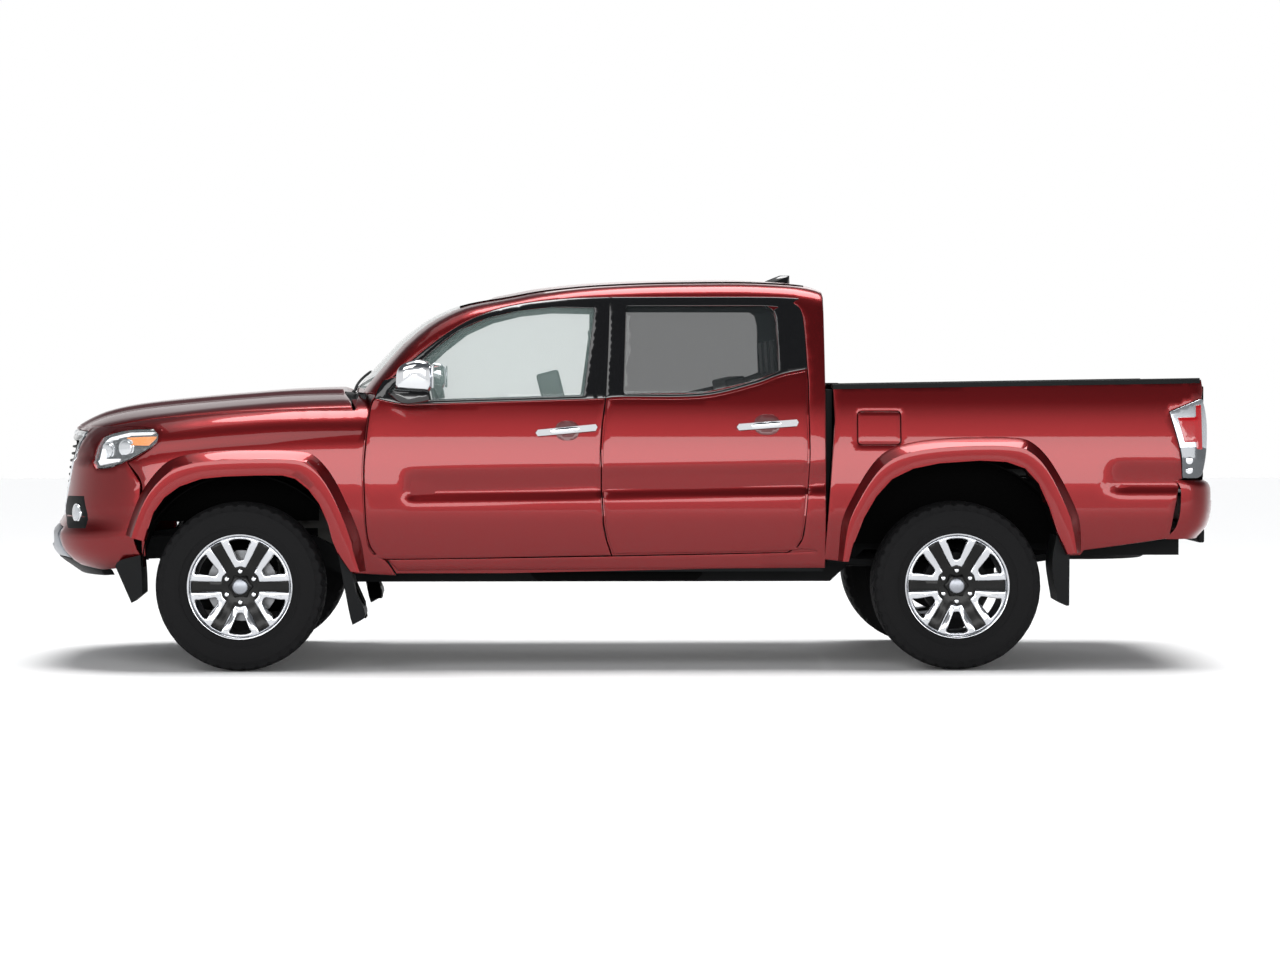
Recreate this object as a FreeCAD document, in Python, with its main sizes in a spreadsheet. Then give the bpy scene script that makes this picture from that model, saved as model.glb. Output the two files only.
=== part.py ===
import FreeCAD, Part
import math
import os
import Sketcher
from FreeCAD import Placement, Rotation, Vector

# A four-door pickup truck with a short load bed, all lengths in millimetres.
# Frame: +X points to the tail, +Y to the right-hand side, +Z up. The origin is on the ground,
# at the middle of the length and width.

# Driving dimensions: name, value, meaning.
SIZES = [
    ("overall_length", 5392, "front bumper to rear bumper"),
    ("wheelbase", 3236, "front axle to rear axle"),
    ("front_overhang", 937, "front bumper to front axle"),
    ("body_half_width", 906, "centre plane to the widest point of the doors"),
    ("flare_half_width", 944, "centre plane to the face of the wheel arch flares"),
    ("front_track", 1600, "between the front tyre centres"),
    ("rear_track", 1606, "between the rear tyre centres"),
    ("tyre_diameter", 764, "a tyre's outside diameter under load"),
    ("tyre_width", 265, "section width of a tyre"),
    ("rim_radius", 247, "edge of the rim flange"),
    ("rim_width", 212, "rim over both flanges"),
    ("bead_radius", 229, "seat of the tyre on the rim"),
    ("wheel_face_inset", 30, "tyre centre plane to the face that bolts to the hub"),
    ("bolt_circle", 139.7, "pitch circle of the six wheel studs"),
    ("panel_gap", 6, "shut line between two panels"),
    ("wall_thickness", 60, "doors and body side walls, outer skin to inner trim"),
    ("roof_thickness", 45, "roof skin to headlining"),
    ("glass_thickness", 5, "side, front and rear glass"),
    ("glass_inset", 16, "side glass behind the outer skin"),
    ("seat_clearance", 0.3, "between a piece and what it seats in"),
    ("cab_rear", 890, "back face of the cab"),
    ("cab_bed_gap", 24, "between cab and load bed"),
    ("bed_floor", 865, "top of the load floor"),
    ("bed_floor_thickness", 40, "corrugated load floor"),
    ("bed_wall", 110, "load bed side, outer skin to inner panel"),
    ("floor_height", 545, "top of the cab floor"),
    ("floor_thickness", 30, "cab floor"),
    ("rail_half_spacing", 420, "centre plane to the middle of a frame rail"),
    ("rail_width", 60, "frame rail across"),
    ("rail_depth", 125, "frame rail top to bottom"),
    ("rail_bottom", 378, "underside of the frame between the axles"),
    ("kingpin_inset", 105, "tyre centre plane to the steering axis"),
    ("disc_radius", 160, "front brake disc"),
    ("steering_wheel_radius", 185, "steering wheel rim centre line"),
    ("tailgate_thickness", 56, "tailgate"),
    ("tailgate_bottom", 808, "lower edge of the tailgate"),
    ("tailgate_half_width", 752, "centre plane to the side of the tailgate"),
    ("mirror_reach", 210, "door skin to the mirror's outer end"),
]

document = FreeCAD.newDocument("pickup")
sheet = document.addObject("Spreadsheet::Sheet", "sizes")
for row, (name, value, note) in enumerate(SIZES, start=1):
    sheet.set(f"A{row}", name)
    sheet.set(f"B{row}", str(value))
    sheet.set(f"C{row}", note)
    sheet.setAlias(f"B{row}", name)
document.recompute()


class Length(float):
    """A number that keeps the sheet expression it was worked out with."""

    def __new__(cls, value, text):
        length = float.__new__(cls, value)
        length.text = text
        return length

    def __add__(self, other):
        return Length(float(self) + float(other), f"({self.text}+{text_of(other)})")

    def __radd__(self, other):
        return Length(float(other) + float(self), f"({text_of(other)}+{self.text})")

    def __sub__(self, other):
        return Length(float(self) - float(other), f"({self.text}-{text_of(other)})")

    def __rsub__(self, other):
        return Length(float(other) - float(self), f"({text_of(other)}-{self.text})")

    def __mul__(self, other):
        return Length(float(self) * float(other), f"({self.text}*{text_of(other)})")

    def __rmul__(self, other):
        return Length(float(other) * float(self), f"({text_of(other)}*{self.text})")

    def __truediv__(self, other):
        return Length(float(self) / float(other), f"({self.text}/{text_of(other)})")

    def __neg__(self):
        return Length(-float(self), f"(0-{self.text})")


def text_of(value):
    """The expression of a length, or the digits of a plain number."""
    return value.text if isinstance(value, Length) else f"({float(value):.6f})"


class Sizes:
    """Reads the driving dimensions back from the spreadsheet."""

    def __getattr__(self, name):
        return Length(float(sheet.get(name)), f"sizes.{name}")


size = Sizes()
nodes = []

FRONT_AXLE = -size.overall_length / 2 + size.front_overhang
REAR_AXLE = FRONT_AXLE + size.wheelbase
TAIL = size.overall_length / 2
AXLE_HEIGHT = size.tyre_diameter / 2
LEFT, RIGHT = -1, 1


# Sketches and solids

def new_body(label):
    body = document.addObject("PartDesign::Body", label)
    body.Label = label
    nodes.append(body)
    return body


def origin_plane(body, role):
    return next(o for o in body.Origin.OriginFeatures if o.Role == role)


def sketch(body, role, *loops, offset=0.0):
    """Closed outlines of straight lines on a plane of the body. Each corner is a pair of lengths."""
    drawing = body.newObject("Sketcher::SketchObject", body.Label + "_outline")
    drawing.AttachmentSupport = (origin_plane(body, role), [""])
    drawing.MapMode = "FlatFace"
    drawing.setExpression("AttachmentOffset.Base.z", text_of(offset))
    first = 0
    for corners in loops:
        count = len(corners)
        for i, (x, y) in enumerate(corners):
            x2, y2 = corners[(i + 1) % count]
            drawing.addGeometry(Part.LineSegment(Vector(x, y, 0), Vector(x2, y2, 0)))
        for i in range(count):
            after = first + (i + 1) % count
            drawing.addConstraint(Sketcher.Constraint("Coincident", first + i, 2, after, 1))
        for i, corner in enumerate(corners, start=first):
            bind(drawing, f"x{i}", Sketcher.Constraint("DistanceX", -1, 1, i, 1, float(corner[0])), corner[0])
            bind(drawing, f"y{i}", Sketcher.Constraint("DistanceY", -1, 1, i, 1, float(corner[1])), corner[1])
        first += count
    return drawing


def circles(body, role, rounds, offset=0.0):
    """Circles on a plane of the body, each of a centre and a radius."""
    drawing = body.newObject("Sketcher::SketchObject", body.Label + "_circles")
    drawing.AttachmentSupport = (origin_plane(body, role), [""])
    drawing.MapMode = "FlatFace"
    drawing.setExpression("AttachmentOffset.Base.z", text_of(offset))
    for i, (x, y, radius) in enumerate(rounds):
        drawing.addGeometry(Part.Circle(Vector(x, y, 0), Vector(0, 0, 1), float(radius)))
        bind(drawing, f"x{i}", Sketcher.Constraint("DistanceX", -1, 1, i, 3, float(x)), x)
        bind(drawing, f"y{i}", Sketcher.Constraint("DistanceY", -1, 1, i, 3, float(y)), y)
        bind(drawing, f"r{i}", Sketcher.Constraint("Radius", i, float(radius)), radius)
    return drawing


def bind(drawing, name, constraint, length):
    """Adds a dimension to a sketch, tied to the sheet where its length comes from there."""
    index = drawing.addConstraint(constraint)
    drawing.renameConstraint(index, name)
    if isinstance(length, Length):
        drawing.setExpression(f"Constraints.{name}", length.text)


def pad(body, drawing, length, both_ways=False, backwards=False, cut=False):
    kind = "Pocket" if cut else "Pad"
    feature = body.newObject(f"PartDesign::{kind}", body.Label + "_" + kind.lower())
    feature.Profile = drawing
    feature.setExpression("Length", text_of(length))
    feature.Midplane = both_ways
    feature.Reversed = backwards
    return feature


def revolve(body, drawing, axis="H_Axis"):
    feature = body.newObject("PartDesign::Revolution", body.Label + "_turned")
    feature.Profile = drawing
    feature.ReferenceAxis = (drawing, [axis])
    feature.Angle = 360
    return feature


def place(body, x=0.0, y=0.0, z=0.0, turn_z=0.0):
    """Places a body by sheet cells, turned about the vertical."""
    body.Placement = Placement(Vector(x, y, z), Rotation(Vector(0, 0, 1), turn_z))
    for axis, value in zip("xyz", (x, y, z)):
        body.setExpression(f"Placement.Base.{axis}", text_of(value))
    return body


def shape_node(label, shape):
    """A piece whose shape is worked out in this file."""
    piece = document.addObject("Part::Feature", label)
    piece.Label = label
    piece.Shape = shape
    nodes.append(piece)
    return piece


def block(x0, x1, y0, y1, z0, z1):
    return Part.makeBox(x1 - x0, y1 - y0, z1 - z0, Vector(x0, y0, z0))


def turned(section, sides=60):
    """A ring of flat facets about the X axis, through a closed section of (x, radius)."""

    def corner(i, k):
        x, radius = section[i % len(section)]
        angle = 2 * math.pi * k / sides
        return Vector(x, radius * math.cos(angle), radius * math.sin(angle))

    faces = [
        Part.Face(Part.makePolygon([
            corner(i, k), corner(i + 1, k), corner(i + 1, k + 1), corner(i, k + 1), corner(i, k)
        ]))
        for i in range(len(section)) for k in range(sides)
    ]
    solid = Part.makeSolid(Part.makeShell(faces))
    return solid if solid.Volume > 0 else solid.reversed()


def flat_prism(points, x, depth):
    """A plate across the X axis behind an outline of (y, z) points."""
    wire = Part.makePolygon([Vector(x, y, z) for y, z in points + points[:1]])
    return Part.Face(wire).extrude(Vector(depth, 0, 0))


def ring_of(radius, sides, y=0.0, z=0.0):
    turns = [2 * math.pi * k / sides for k in range(sides)]
    return [(y + radius * math.cos(a), z + radius * math.sin(a)) for a in turns]


def mirrored(shape):
    """The same shape on the other side of the centre plane."""
    return shape.mirror(Vector(0, 0, 0), Vector(0, 1, 0))


def one_solid(shape):
    """The largest solid of a boolean's result, cleaned of split faces."""
    best = max(shape.Solids, key=lambda s: s.Volume)
    cleaned = best.removeSplitter()
    return cleaned if cleaned.isValid() and cleaned.Solids else best


# Body surfaces

def smooth(table, x):
    """Monotone cubic through a table of (x, value), flat beyond its ends."""
    if x <= table[0][0]:
        return table[0][1]
    if x >= table[-1][0]:
        return table[-1][1]
    slopes = [(b[1] - a[1]) / (b[0] - a[0]) for a, b in zip(table, table[1:])]
    i = next(k for k in range(len(slopes)) if x <= table[k + 1][0])

    def tangent(k):
        if k == 0:
            return slopes[0]
        if k == len(slopes):
            return slopes[-1]
        before, after = slopes[k - 1], slopes[k]
        return 0.0 if before * after <= 0 else 2 * before * after / (before + after)

    x0, y0 = table[i]
    x1, y1 = table[i + 1]
    step = x1 - x0
    part = (x - x0) / step
    return (
        y0 * (1 + 2 * part) * (1 - part) ** 2
        + tangent(i) * step * part * (1 - part) ** 2
        + y1 * part * part * (3 - 2 * part)
        + tangent(i + 1) * step * part * part * (part - 1)
    )


def ramp(low, high, x):
    """0 below low, 1 above high and an S-curve between."""
    part = min(1.0, max(0.0, (x - low) / (high - low)))
    return part * part * (3 - 2 * part)


# The body's side lines rise towards the tail, and are level with their tables at LIFT_FROM behind
# the front axle.
RAKE = 0.0175
LIFT_FROM = 1171

# Height above ground to how far the skin stands inside the widest point.
SIDE_PROFILE = [
    (380, 70), (470, 40), (540, 20), (620, 7), (715, 0), (800, 0), (900, 4), (1000, 11),
    (1100, 22), (1180, 34), (1250, 50), (1400, 92), (1550, 142), (1700, 200), (1900, 290),
]
# Side crease along the cab: height, depth.
CREASE = [(690, 0), (745, 1), (775, 6), (795, 15), (806, 16), (916, 0)]
BED_CREASE = [(760, 0), (795, 3), (822, 13), (835, 14), (955, 0)]
NOSE_LENGTH = 700
NOSE_POWER = 3.0
TAIL_CORNER_START = 176
TAIL_CORNER_LENGTH = 110
TAIL_CORNER_DEPTH = 55


def side_half(x, z):
    """Half width of the body side, before it turns over into the top."""
    half = size.body_half_width - smooth(SIDE_PROFILE, z)
    along = x - FRONT_AXLE
    door_share = ramp(715, 780, along) * (1 - ramp(size.cab_rear - 6, size.cab_rear - 2, x))
    half -= smooth(CREASE, z - RAKE * (along - LIFT_FROM)) * door_share
    tail_share = ramp(REAR_AXLE + 640, REAR_AXLE + 760, x)
    half -= smooth(BED_CREASE, z) * tail_share
    tail = min(1.0, (x - (TAIL - TAIL_CORNER_START)) / TAIL_CORNER_LENGTH)
    if tail > 0:
        half -= TAIL_CORNER_DEPTH * (1 - math.sqrt(1 - tail * tail))
    corner = (nose_front(z) + NOSE_LENGTH - x) / NOSE_LENGTH
    if corner > 0:
        half *= max(0.0, 1 - min(1.0, corner) ** NOSE_POWER) ** (1 / NOSE_POWER)
    return half


# Height to how far the centre of the nose stands behind the front bumper.
NOSE_PROFILE = [
    (380, 190), (430, 130), (508, 30), (560, 6), (606, 4), (640, 30), (700, 62), (745, 60),
    (830, 68), (994, 84), (1070, 97), (1108, 111), (1150, 175), (1200, 300),
]


def nose_front(z):
    return -size.overall_length / 2 + smooth(NOSE_PROFILE, z)


HOOD_TOP = [
    (-826, 1100), (-760, 1138), (-687, 1168), (-580, 1194), (-459, 1212), (-210, 1238), (-4, 1256),
    (203, 1272), (379, 1279), (560, 1283),
]
HOOD_CROWN = 46
HOOD_BLEND = 190


def hood_top(x, y):
    """Height of the bonnet's upper side before it turns down into the fender."""
    along = x - FRONT_AXLE
    across = abs(y) / 700
    sweep = 110 * across ** 2 * (1 - ramp(-600, 0, along))
    raised = 16 * (1 - ramp(330, 430, abs(y) - 0.12 * (along - 200)))
    return smooth(HOOD_TOP, along - sweep) - HOOD_CROWN * across ** 2.2 - 16 + raised


ROOF_TOP = [
    (380, 1150), (430, 1212), (490, 1288), (566, 1377), (704, 1520), (844, 1619), (983, 1676),
    (1168, 1711), (1344, 1744), (1600, 1769), (1900, 1781), (2191, 1784), (2410, 1777),
    (2542, 1766), (2616, 1747), (2670, 1690),
]
ROOF_CROWN = 38
ROOF_BLEND = 70
SCREEN_BOW = 55


def cab_top(x, y):
    """Height of the windscreen and roof before they turn down into the cab side."""
    across = abs(y) / 700
    bow = SCREEN_BOW * across ** 2
    back_bow = 30 * across ** 2 * ramp(2300, 2600, x - FRONT_AXLE)
    return smooth(ROOF_TOP, x - FRONT_AXLE - bow + back_bow) - ROOF_CROWN * across ** 2


def blend_max(a, b, width):
    """The larger of two values, rounded where they are near each other."""
    share = max(width - abs(a - b), 0.0) / width
    return max(a, b) + share * share * width / 4


def outside(x, y, z, top, width, wall=0.0, lid=0.0):
    """Below 0 inside the skin; the side is moved in by wall and the top down by lid."""
    return blend_max(y - side_half(x, z) + wall, z - top(x, y) + lid, width)


def last_inside(test, low, high):
    """The farthest value from low, towards high, at which a test is still below 0."""
    for _ in range(32):
        middle = (low + high) / 2
        if test(middle) > 0:
            high = middle
        else:
            low = middle
    return low


def side_skin(x, z, top=None, width=70):
    """Half width of the finished skin at a point of the side view."""
    if top is None:
        return side_half(x, z)
    return last_inside(lambda y: outside(x, y, z, top, width), 0.0, 1000.0)


SIDE_ROWS = (440, 560, 700, 772, 798, 912)
TURN_DEGREES = (10, 21, 31, 38, 44, 50, 60, 74, 90)


def section_points(x, top, width, wall, lid, core):
    """Half a cross section, from the lower edge up to the centre line. Above the core height its
    points are found on rays from the centre plane."""
    points = []
    lift = RAKE * (x - FRONT_AXLE - LIFT_FROM)
    rows = [z + lift * (700 < z < 950) for z in SIDE_ROWS if z < core - 20]
    for z in rows + [core]:
        points.append((last_inside(lambda y: outside(x, y, z, top, width, wall, lid), 0, 1000), z))
    for degrees in TURN_DEGREES:
        dy, dz = math.cos(math.radians(degrees)), math.sin(math.radians(degrees))
        reach = last_inside(
            lambda r: outside(x, r * dy, core + r * dz, top, width, wall, lid), 0, 1300
        )
        points.append((reach * dy, core + reach * dz))
    return points


def left_solid(xs, top, width, wall=0.0, lid=0.0, core=1000):
    """The left half of a solid through cross sections of the body, flat underneath."""
    wires = []
    for x in xs:
        half = [Vector(x, -y, z) for y, z in section_points(x, top, width, wall, lid, core)]
        half[-1].y = 0
        foot = Vector(x, 0, half[0].z)
        wires.append(Part.makePolygon(half + [foot, half[0]]))
    return Part.makeLoft(wires, True, True)


def side_slab(xs, zs, skin, depth, start=0.0):
    """A sheet of the left side's skin, from start inside it, depth thick. Its rows follow the
    body lines, which rise towards the tail."""
    wires = []
    for x in xs:
        lift = RAKE * (x - FRONT_AXLE - LIFT_FROM)
        outer = [Vector(x, -skin(x, z + lift) + start, z + lift) for z in zs]
        inner = [point + Vector(0, depth, 0) for point in reversed(outer)]
        wires.append(Part.makePolygon(outer + inner + outer[:1]))
    return Part.makeLoft(wires, True, True)


# Outlines in the side view: runs of (x, z) points, each starting where the one before ends.

def loop_wire(runs, to_space):
    points = [to_space(*point) for run in runs for point in run[:-1]]
    return Part.makePolygon(points + points[:1])


def grown(runs, distance):
    """The outline moved outwards all round by a distance."""
    points = [point for run in runs for point in run[:-1]]
    count = len(points)
    area = sum(
        points[i][0] * points[(i + 1) % count][1] - points[(i + 1) % count][0] * points[i][1]
        for i in range(count)
    )
    turn = 1 if area > 0 else -1
    moved = []
    for i in range(count):
        before, here, after = points[i - 1], points[i], points[(i + 1) % count]
        normals = []
        for a, b in ((before, here), (here, after)):
            dx, dz = b[0] - a[0], b[1] - a[1]
            length = math.hypot(dx, dz)
            normals.append((turn * dz / length, -turn * dx / length))
        nx, nz = normals[0][0] + normals[1][0], normals[0][1] + normals[1][1]
        scale = 2 * distance / (nx * nx + nz * nz)
        moved.append((here[0] + nx * scale, here[1] + nz * scale) + tuple(here[2:]))
    result, start = [], 0
    for run in runs:
        result.append([moved[(start + k) % count] for k in range(len(run))])
        start += len(run) - 1
    return result


REACH = 1150
DEEP = 380


def side_prism(runs, skin=None, outer=REACH, inner=DEEP):
    """The space behind an outline, through the left side. A third number in a point slants its
    edge: how far it runs back for each millimetre outwards."""

    def at(plane):
        def to_space(x, z, slant=0.0):
            if slant:
                x = x + slant * (plane - skin(x, z))
            return Vector(x, -plane, z)

        return to_space

    wires = [loop_wire(runs, at(outer)), loop_wire(runs, at(inner))]
    return Part.makeLoft(wires, True, True)


def plan_prism(runs, low, high):
    """The space under an outline of the plan view."""
    wire = loop_wire(runs, lambda x, y: Vector(x, y, low))
    return Part.Face(wire).extrude(Vector(0, 0, high - low))


def closed(points):
    """An outline of straight edges through a list of points."""
    return [[a, b] for a, b in zip(points, points[1:] + points[:1])]


def from_axle(points, axle):
    return [(x + axle,) + tuple(rest) for x, *rest in points]


# Shut lines and openings in the side view, measured from the front or rear axle

DOOR_SLANT = 0.27

FRONT_DOOR = [
    from_axle(run, FRONT_AXLE) for run in (
        [(684, 1325), (647, 1312)],
        [
            (647, 1312), (617, 1265), (590, 1203), (575, 1118), (563, 1001), (557, 900),
            (561, 753), (569, 629), (583, 566), (610, 527), (660, 502),
        ],
        [(660, 502), (1675, 518, DOOR_SLANT)],
        [
            (1675, 518, DOOR_SLANT), (1652, 587, DOOR_SLANT), (1636, 668, DOOR_SLANT),
            (1626, 829, DOOR_SLANT), (1624, 990, DOOR_SLANT), (1632, 1111, DOOR_SLANT),
            (1649, 1244, DOOR_SLANT), (1659, 1450, DOOR_SLANT), (1668, 1690, DOOR_SLANT),
        ],
        [
            (1668, 1690, DOOR_SLANT), (1458, 1682), (1249, 1657), (1096, 1614), (971, 1552),
            (833, 1453), (684, 1325),
        ],
    )
]
REAR_DOOR = [
    from_axle(run, FRONT_AXLE) for run in (
        [
            (1668, 1690, DOOR_SLANT), (1659, 1450, DOOR_SLANT), (1649, 1244, DOOR_SLANT),
            (1632, 1111, DOOR_SLANT), (1624, 990, DOOR_SLANT), (1626, 829, DOOR_SLANT),
            (1636, 668, DOOR_SLANT), (1652, 587, DOOR_SLANT), (1675, 518, DOOR_SLANT),
        ],
        [(1675, 518, DOOR_SLANT), (2466, 532)],
        [
            (2466, 532), (2510, 555, DOOR_SLANT), (2537, 596, DOOR_SLANT), (2549, 668, DOOR_SLANT),
            (2562, 829, DOOR_SLANT), (2570, 990, DOOR_SLANT), (2567, 1151, DOOR_SLANT),
            (2566, 1301, DOOR_SLANT), (2545, 1607, DOOR_SLANT), (2505, 1663, DOOR_SLANT),
            (2463, 1689, DOOR_SLANT),
        ],
        [(2463, 1689, DOOR_SLANT), (1668, 1690, DOOR_SLANT)],
    )
]
FRONT_WINDOW = [
    from_axle(run, FRONT_AXLE) for run in (
        [(668, 1259), (732, 1219)],
        [(732, 1219), (849, 1219)],
        [(849, 1219), (1548, 1240)],
        [(1548, 1240), (1600, 1640)],
        [(1600, 1640), (1402, 1644), (1249, 1628), (1110, 1594), (985, 1538), (874, 1453), (668, 1259)],
    )
]
REAR_WINDOW = [
    from_axle(run, FRONT_AXLE) for run in (
        [(1728, 1250), (2080, 1254), (2317, 1308), (2435, 1352)],
        [(2435, 1352), (2425, 1579), (2413, 1632), (2386, 1650)],
        [(2386, 1650), (1742, 1650)],
        [(1742, 1650), (1728, 1250)],
    )
]
FRONT_ARCH = [
    from_axle(run, FRONT_AXLE) for run in (
        [
            (-439, 300), (-434, 519), (-425, 573), (-410, 631), (-381, 719), (-332, 787),
            (-264, 836), (-166, 870), (-69, 880), (77, 885), (195, 885), (253, 870), (312, 822),
            (360, 758), (399, 670), (419, 592), (448, 524), (500, 440), (540, 300),
        ],
        [(540, 300), (-439, 300)],
    )
]
REAR_ARCH = [
    from_axle(run, REAR_AXLE) for run in (
        [
            (-530, 300), (-493, 492), (-469, 583), (-427, 691), (-372, 787), (-301, 866),
            (-204, 914), (-84, 938), (97, 950), (218, 944), (302, 914), (362, 848), (411, 739),
            (447, 631), (501, 516), (560, 400), (600, 300),
        ],
        [(600, 300), (-530, 300)],
    )
]
FRONT_FLARE = [
    from_axle(run, FRONT_AXLE) for run in (
        [
            (-498, 670), (-469, 748), (-430, 827), (-371, 904), (-313, 953), (-215, 983),
            (-69, 997), (126, 1001), (253, 997), (322, 983), (380, 934), (429, 865), (477, 768),
            (516, 680), (546, 592), (556, 495),
        ],
        [(556, 495), (300, 495), (-300, 500), (-498, 670)],
    )
]
REAR_FLARE = [
    from_axle(run, REAR_AXLE) for run in (
        [
            (-536, 540), (-523, 679), (-469, 800), (-397, 920), (-324, 992), (-228, 1028),
            (-84, 1049), (97, 1057), (242, 1055), (326, 1040), (398, 980), (459, 890),
            (513, 787), (549, 703), (561, 631),
        ],
        [(561, 631), (540, 540), (-536, 540)],
    )
]
FENDER = from_axle([
    (-640, 1280), (-640, 1098), (-434, 1098), (-400, 1092), (-373, 1068), (-375, 1034), (-402, 1003),
    (-467, 962), (-506, 943), (-430, 850), (-439, 470), (700, 430), (656, 495), (605, 521),
    (577, 562), (566, 629), (558, 753), (554, 900), (560, 1001),
    (572, 1118), (587, 1203), (604, 1245), (604, 1280),
], FRONT_AXLE)
BED_SIDE = from_axle([
    (-560, 1287), (-553, 1131), (-570, 900), (-600, 501), (-470, 489), (560, 520), (577, 542),
    (715, 560), (962, 596), (1012, 864), (1092, 867), (1116, 884), (1127, 926), (1140, 1015),
    (1142, 1118), (1133, 1187), (1117, 1230), (1125, 1270), (1119, 1314),
], REAR_AXLE)
TAIL_LAMP = from_axle([
    (965, 1170), (1090, 1222), (1200, 1230), (1200, 850), (1021, 864), (1010, 994),
], REAR_AXLE)
HEADLAMP = from_axle([
    (-380, 1066), (-403, 1085), (-434, 1092), (-561, 1088), (-665, 1062), (-900, 1056), (-900, 925),
    (-700, 915), (-654, 908), (-597, 915), (-540, 934), (-471, 969), (-408, 1010), (-383, 1038),
], FRONT_AXLE)
FUEL_FLAP = (-452, -254, 1018, 1172)
FLAP_SKIN = 8
LAMP_DEPTH = 60

# Left half of the bonnet in the plan view.
HOOD = [
    from_axle(run, FRONT_AXLE) for run in (
        [(-960, 0), (-960, -440)],
        [
            (-960, -440), (-800, -540), (-700, -606), (-560, -668), (-420, -714), (-270, -745),
            (-70, -765), (210, -783), (512, -792),
        ],
        [(512, -792), (470, -600), (430, -300), (420, 0)],
        [(420, 0), (-960, 0)],
    )
]
# Left half of the grille in the front view: y, z.
GRILLE = closed([(0, 1092), (-560, 1080), (-600, 960), (-520, 720), (-470, 690), (0, 690)])

# Cab and doors

CAB_XS = [FRONT_AXLE + x for x in (480, 600, 760, 920, 1100, 1340, 1740, 2250, 2480, 2570, 2640)]


def cab_skin(x, z):
    return side_skin(x, z, cab_top, ROOF_BLEND)


def cab_layer(start, depth_side, depth_top):
    """The left half of the cab's skin as a shell between two levels under its surface."""
    outer = left_solid(CAB_XS, cab_top, ROOF_BLEND, start, start)
    inner = left_solid(CAB_XS, cab_top, ROOF_BLEND, start + depth_side, start + depth_top)
    return outer.cut(inner)


def two_sides(label, left):
    """A piece of the left side and its mirror image on the right."""
    return shape_node(label + "_left", left), shape_node(label + "_right", mirrored(left))


def both_halves(left):
    """A left half joined to its mirror image at the centre plane."""
    return one_solid(left.fuse(mirrored(left)))


def front_prism(runs, low, high):
    """The space behind an outline of the front view."""
    wire = loop_wire(runs, lambda y, z: Vector(low, y, z))
    return Part.Face(wire).extrude(Vector(high - low, 0, 0))


def side_block(points, y0, y1):
    """A plate of the side view, between two distances from the centre plane."""
    wire = Part.makePolygon([Vector(x, y0, z) for x, z in points + points[:1]])
    return Part.Face(wire).extrude(Vector(0, y1 - y0, 0))


hood_gap = plan_prism(grown(HOOD, size.panel_gap), 900, 1500)
cab_wall = cab_layer(0, size.wall_thickness, size.roof_thickness)
glass_layer = cab_layer(size.glass_inset, size.glass_thickness, size.glass_thickness)


def pull_handle(x0, z0, x1, z1):
    """A bar across the skin with a foot at each end."""
    face = side_skin(x0, z0)
    corners = [(x0, z0 - 15), (x1, z1 - 17), (x1 + 8, z1), (x1, z1 + 13), (x0, z0 + 14), (x0 - 10, z0)]
    bar = side_block(corners, -face - 34, -face - 16)
    feet = [block(x - 14, x + 14, -face - 18, -face + 25, z - 9, z + 9)
            for x, z in ((x0 + 22, z0 + 2), (x1 - 22, z1 - 3))]
    return bar.fuse(feet)


def door_and_glass(outline, window):
    """A door with its window frame, and the glass that stands in it."""
    whole = cab_wall.common(side_prism(grown(outline, -size.panel_gap / 2), cab_skin))
    opening = side_prism(window)
    return one_solid(whole.cut(opening)), one_solid(glass_layer.common(opening))


front_door, front_glass = door_and_glass(FRONT_DOOR, FRONT_WINDOW)
rear_door, rear_glass = door_and_glass(REAR_DOOR, REAR_WINDOW)
front_door = front_door.fuse(pull_handle(FRONT_AXLE + 1341, 1075, FRONT_AXLE + 1601, 1101))
rear_door = rear_door.fuse(pull_handle(FRONT_AXLE + 2247, 1101, FRONT_AXLE + 2508, 1122))
two_sides("front_door", front_door)
two_sides("front_door_glass", front_glass)
two_sides("rear_door", rear_door)
two_sides("rear_door_glass", rear_glass)

# Left halves of the windscreen and rear window seen from the front: y, z.
SCREEN = [
    [(0, 1285), (-640, 1270)],
    [(-640, 1270), (-590, 1480), (-505, 1676)],
    [(-505, 1676), (-260, 1699), (0, 1706)],
    [(0, 1706), (0, 1285)],
]
BACKLIGHT = closed([(0, 1340), (-590, 1340), (-560, 1600), (0, 1600)])
CAB_OUTLINE = from_axle([
    (500, 1258), (604, 1250), (640, 1315), (700, 1322), (700, 1150), (620, 1100), (612, 560),
    (664, 503), (708, 430), (2640, 470), (2640, 1900), (500, 1900),
], FRONT_AXLE)


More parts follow.
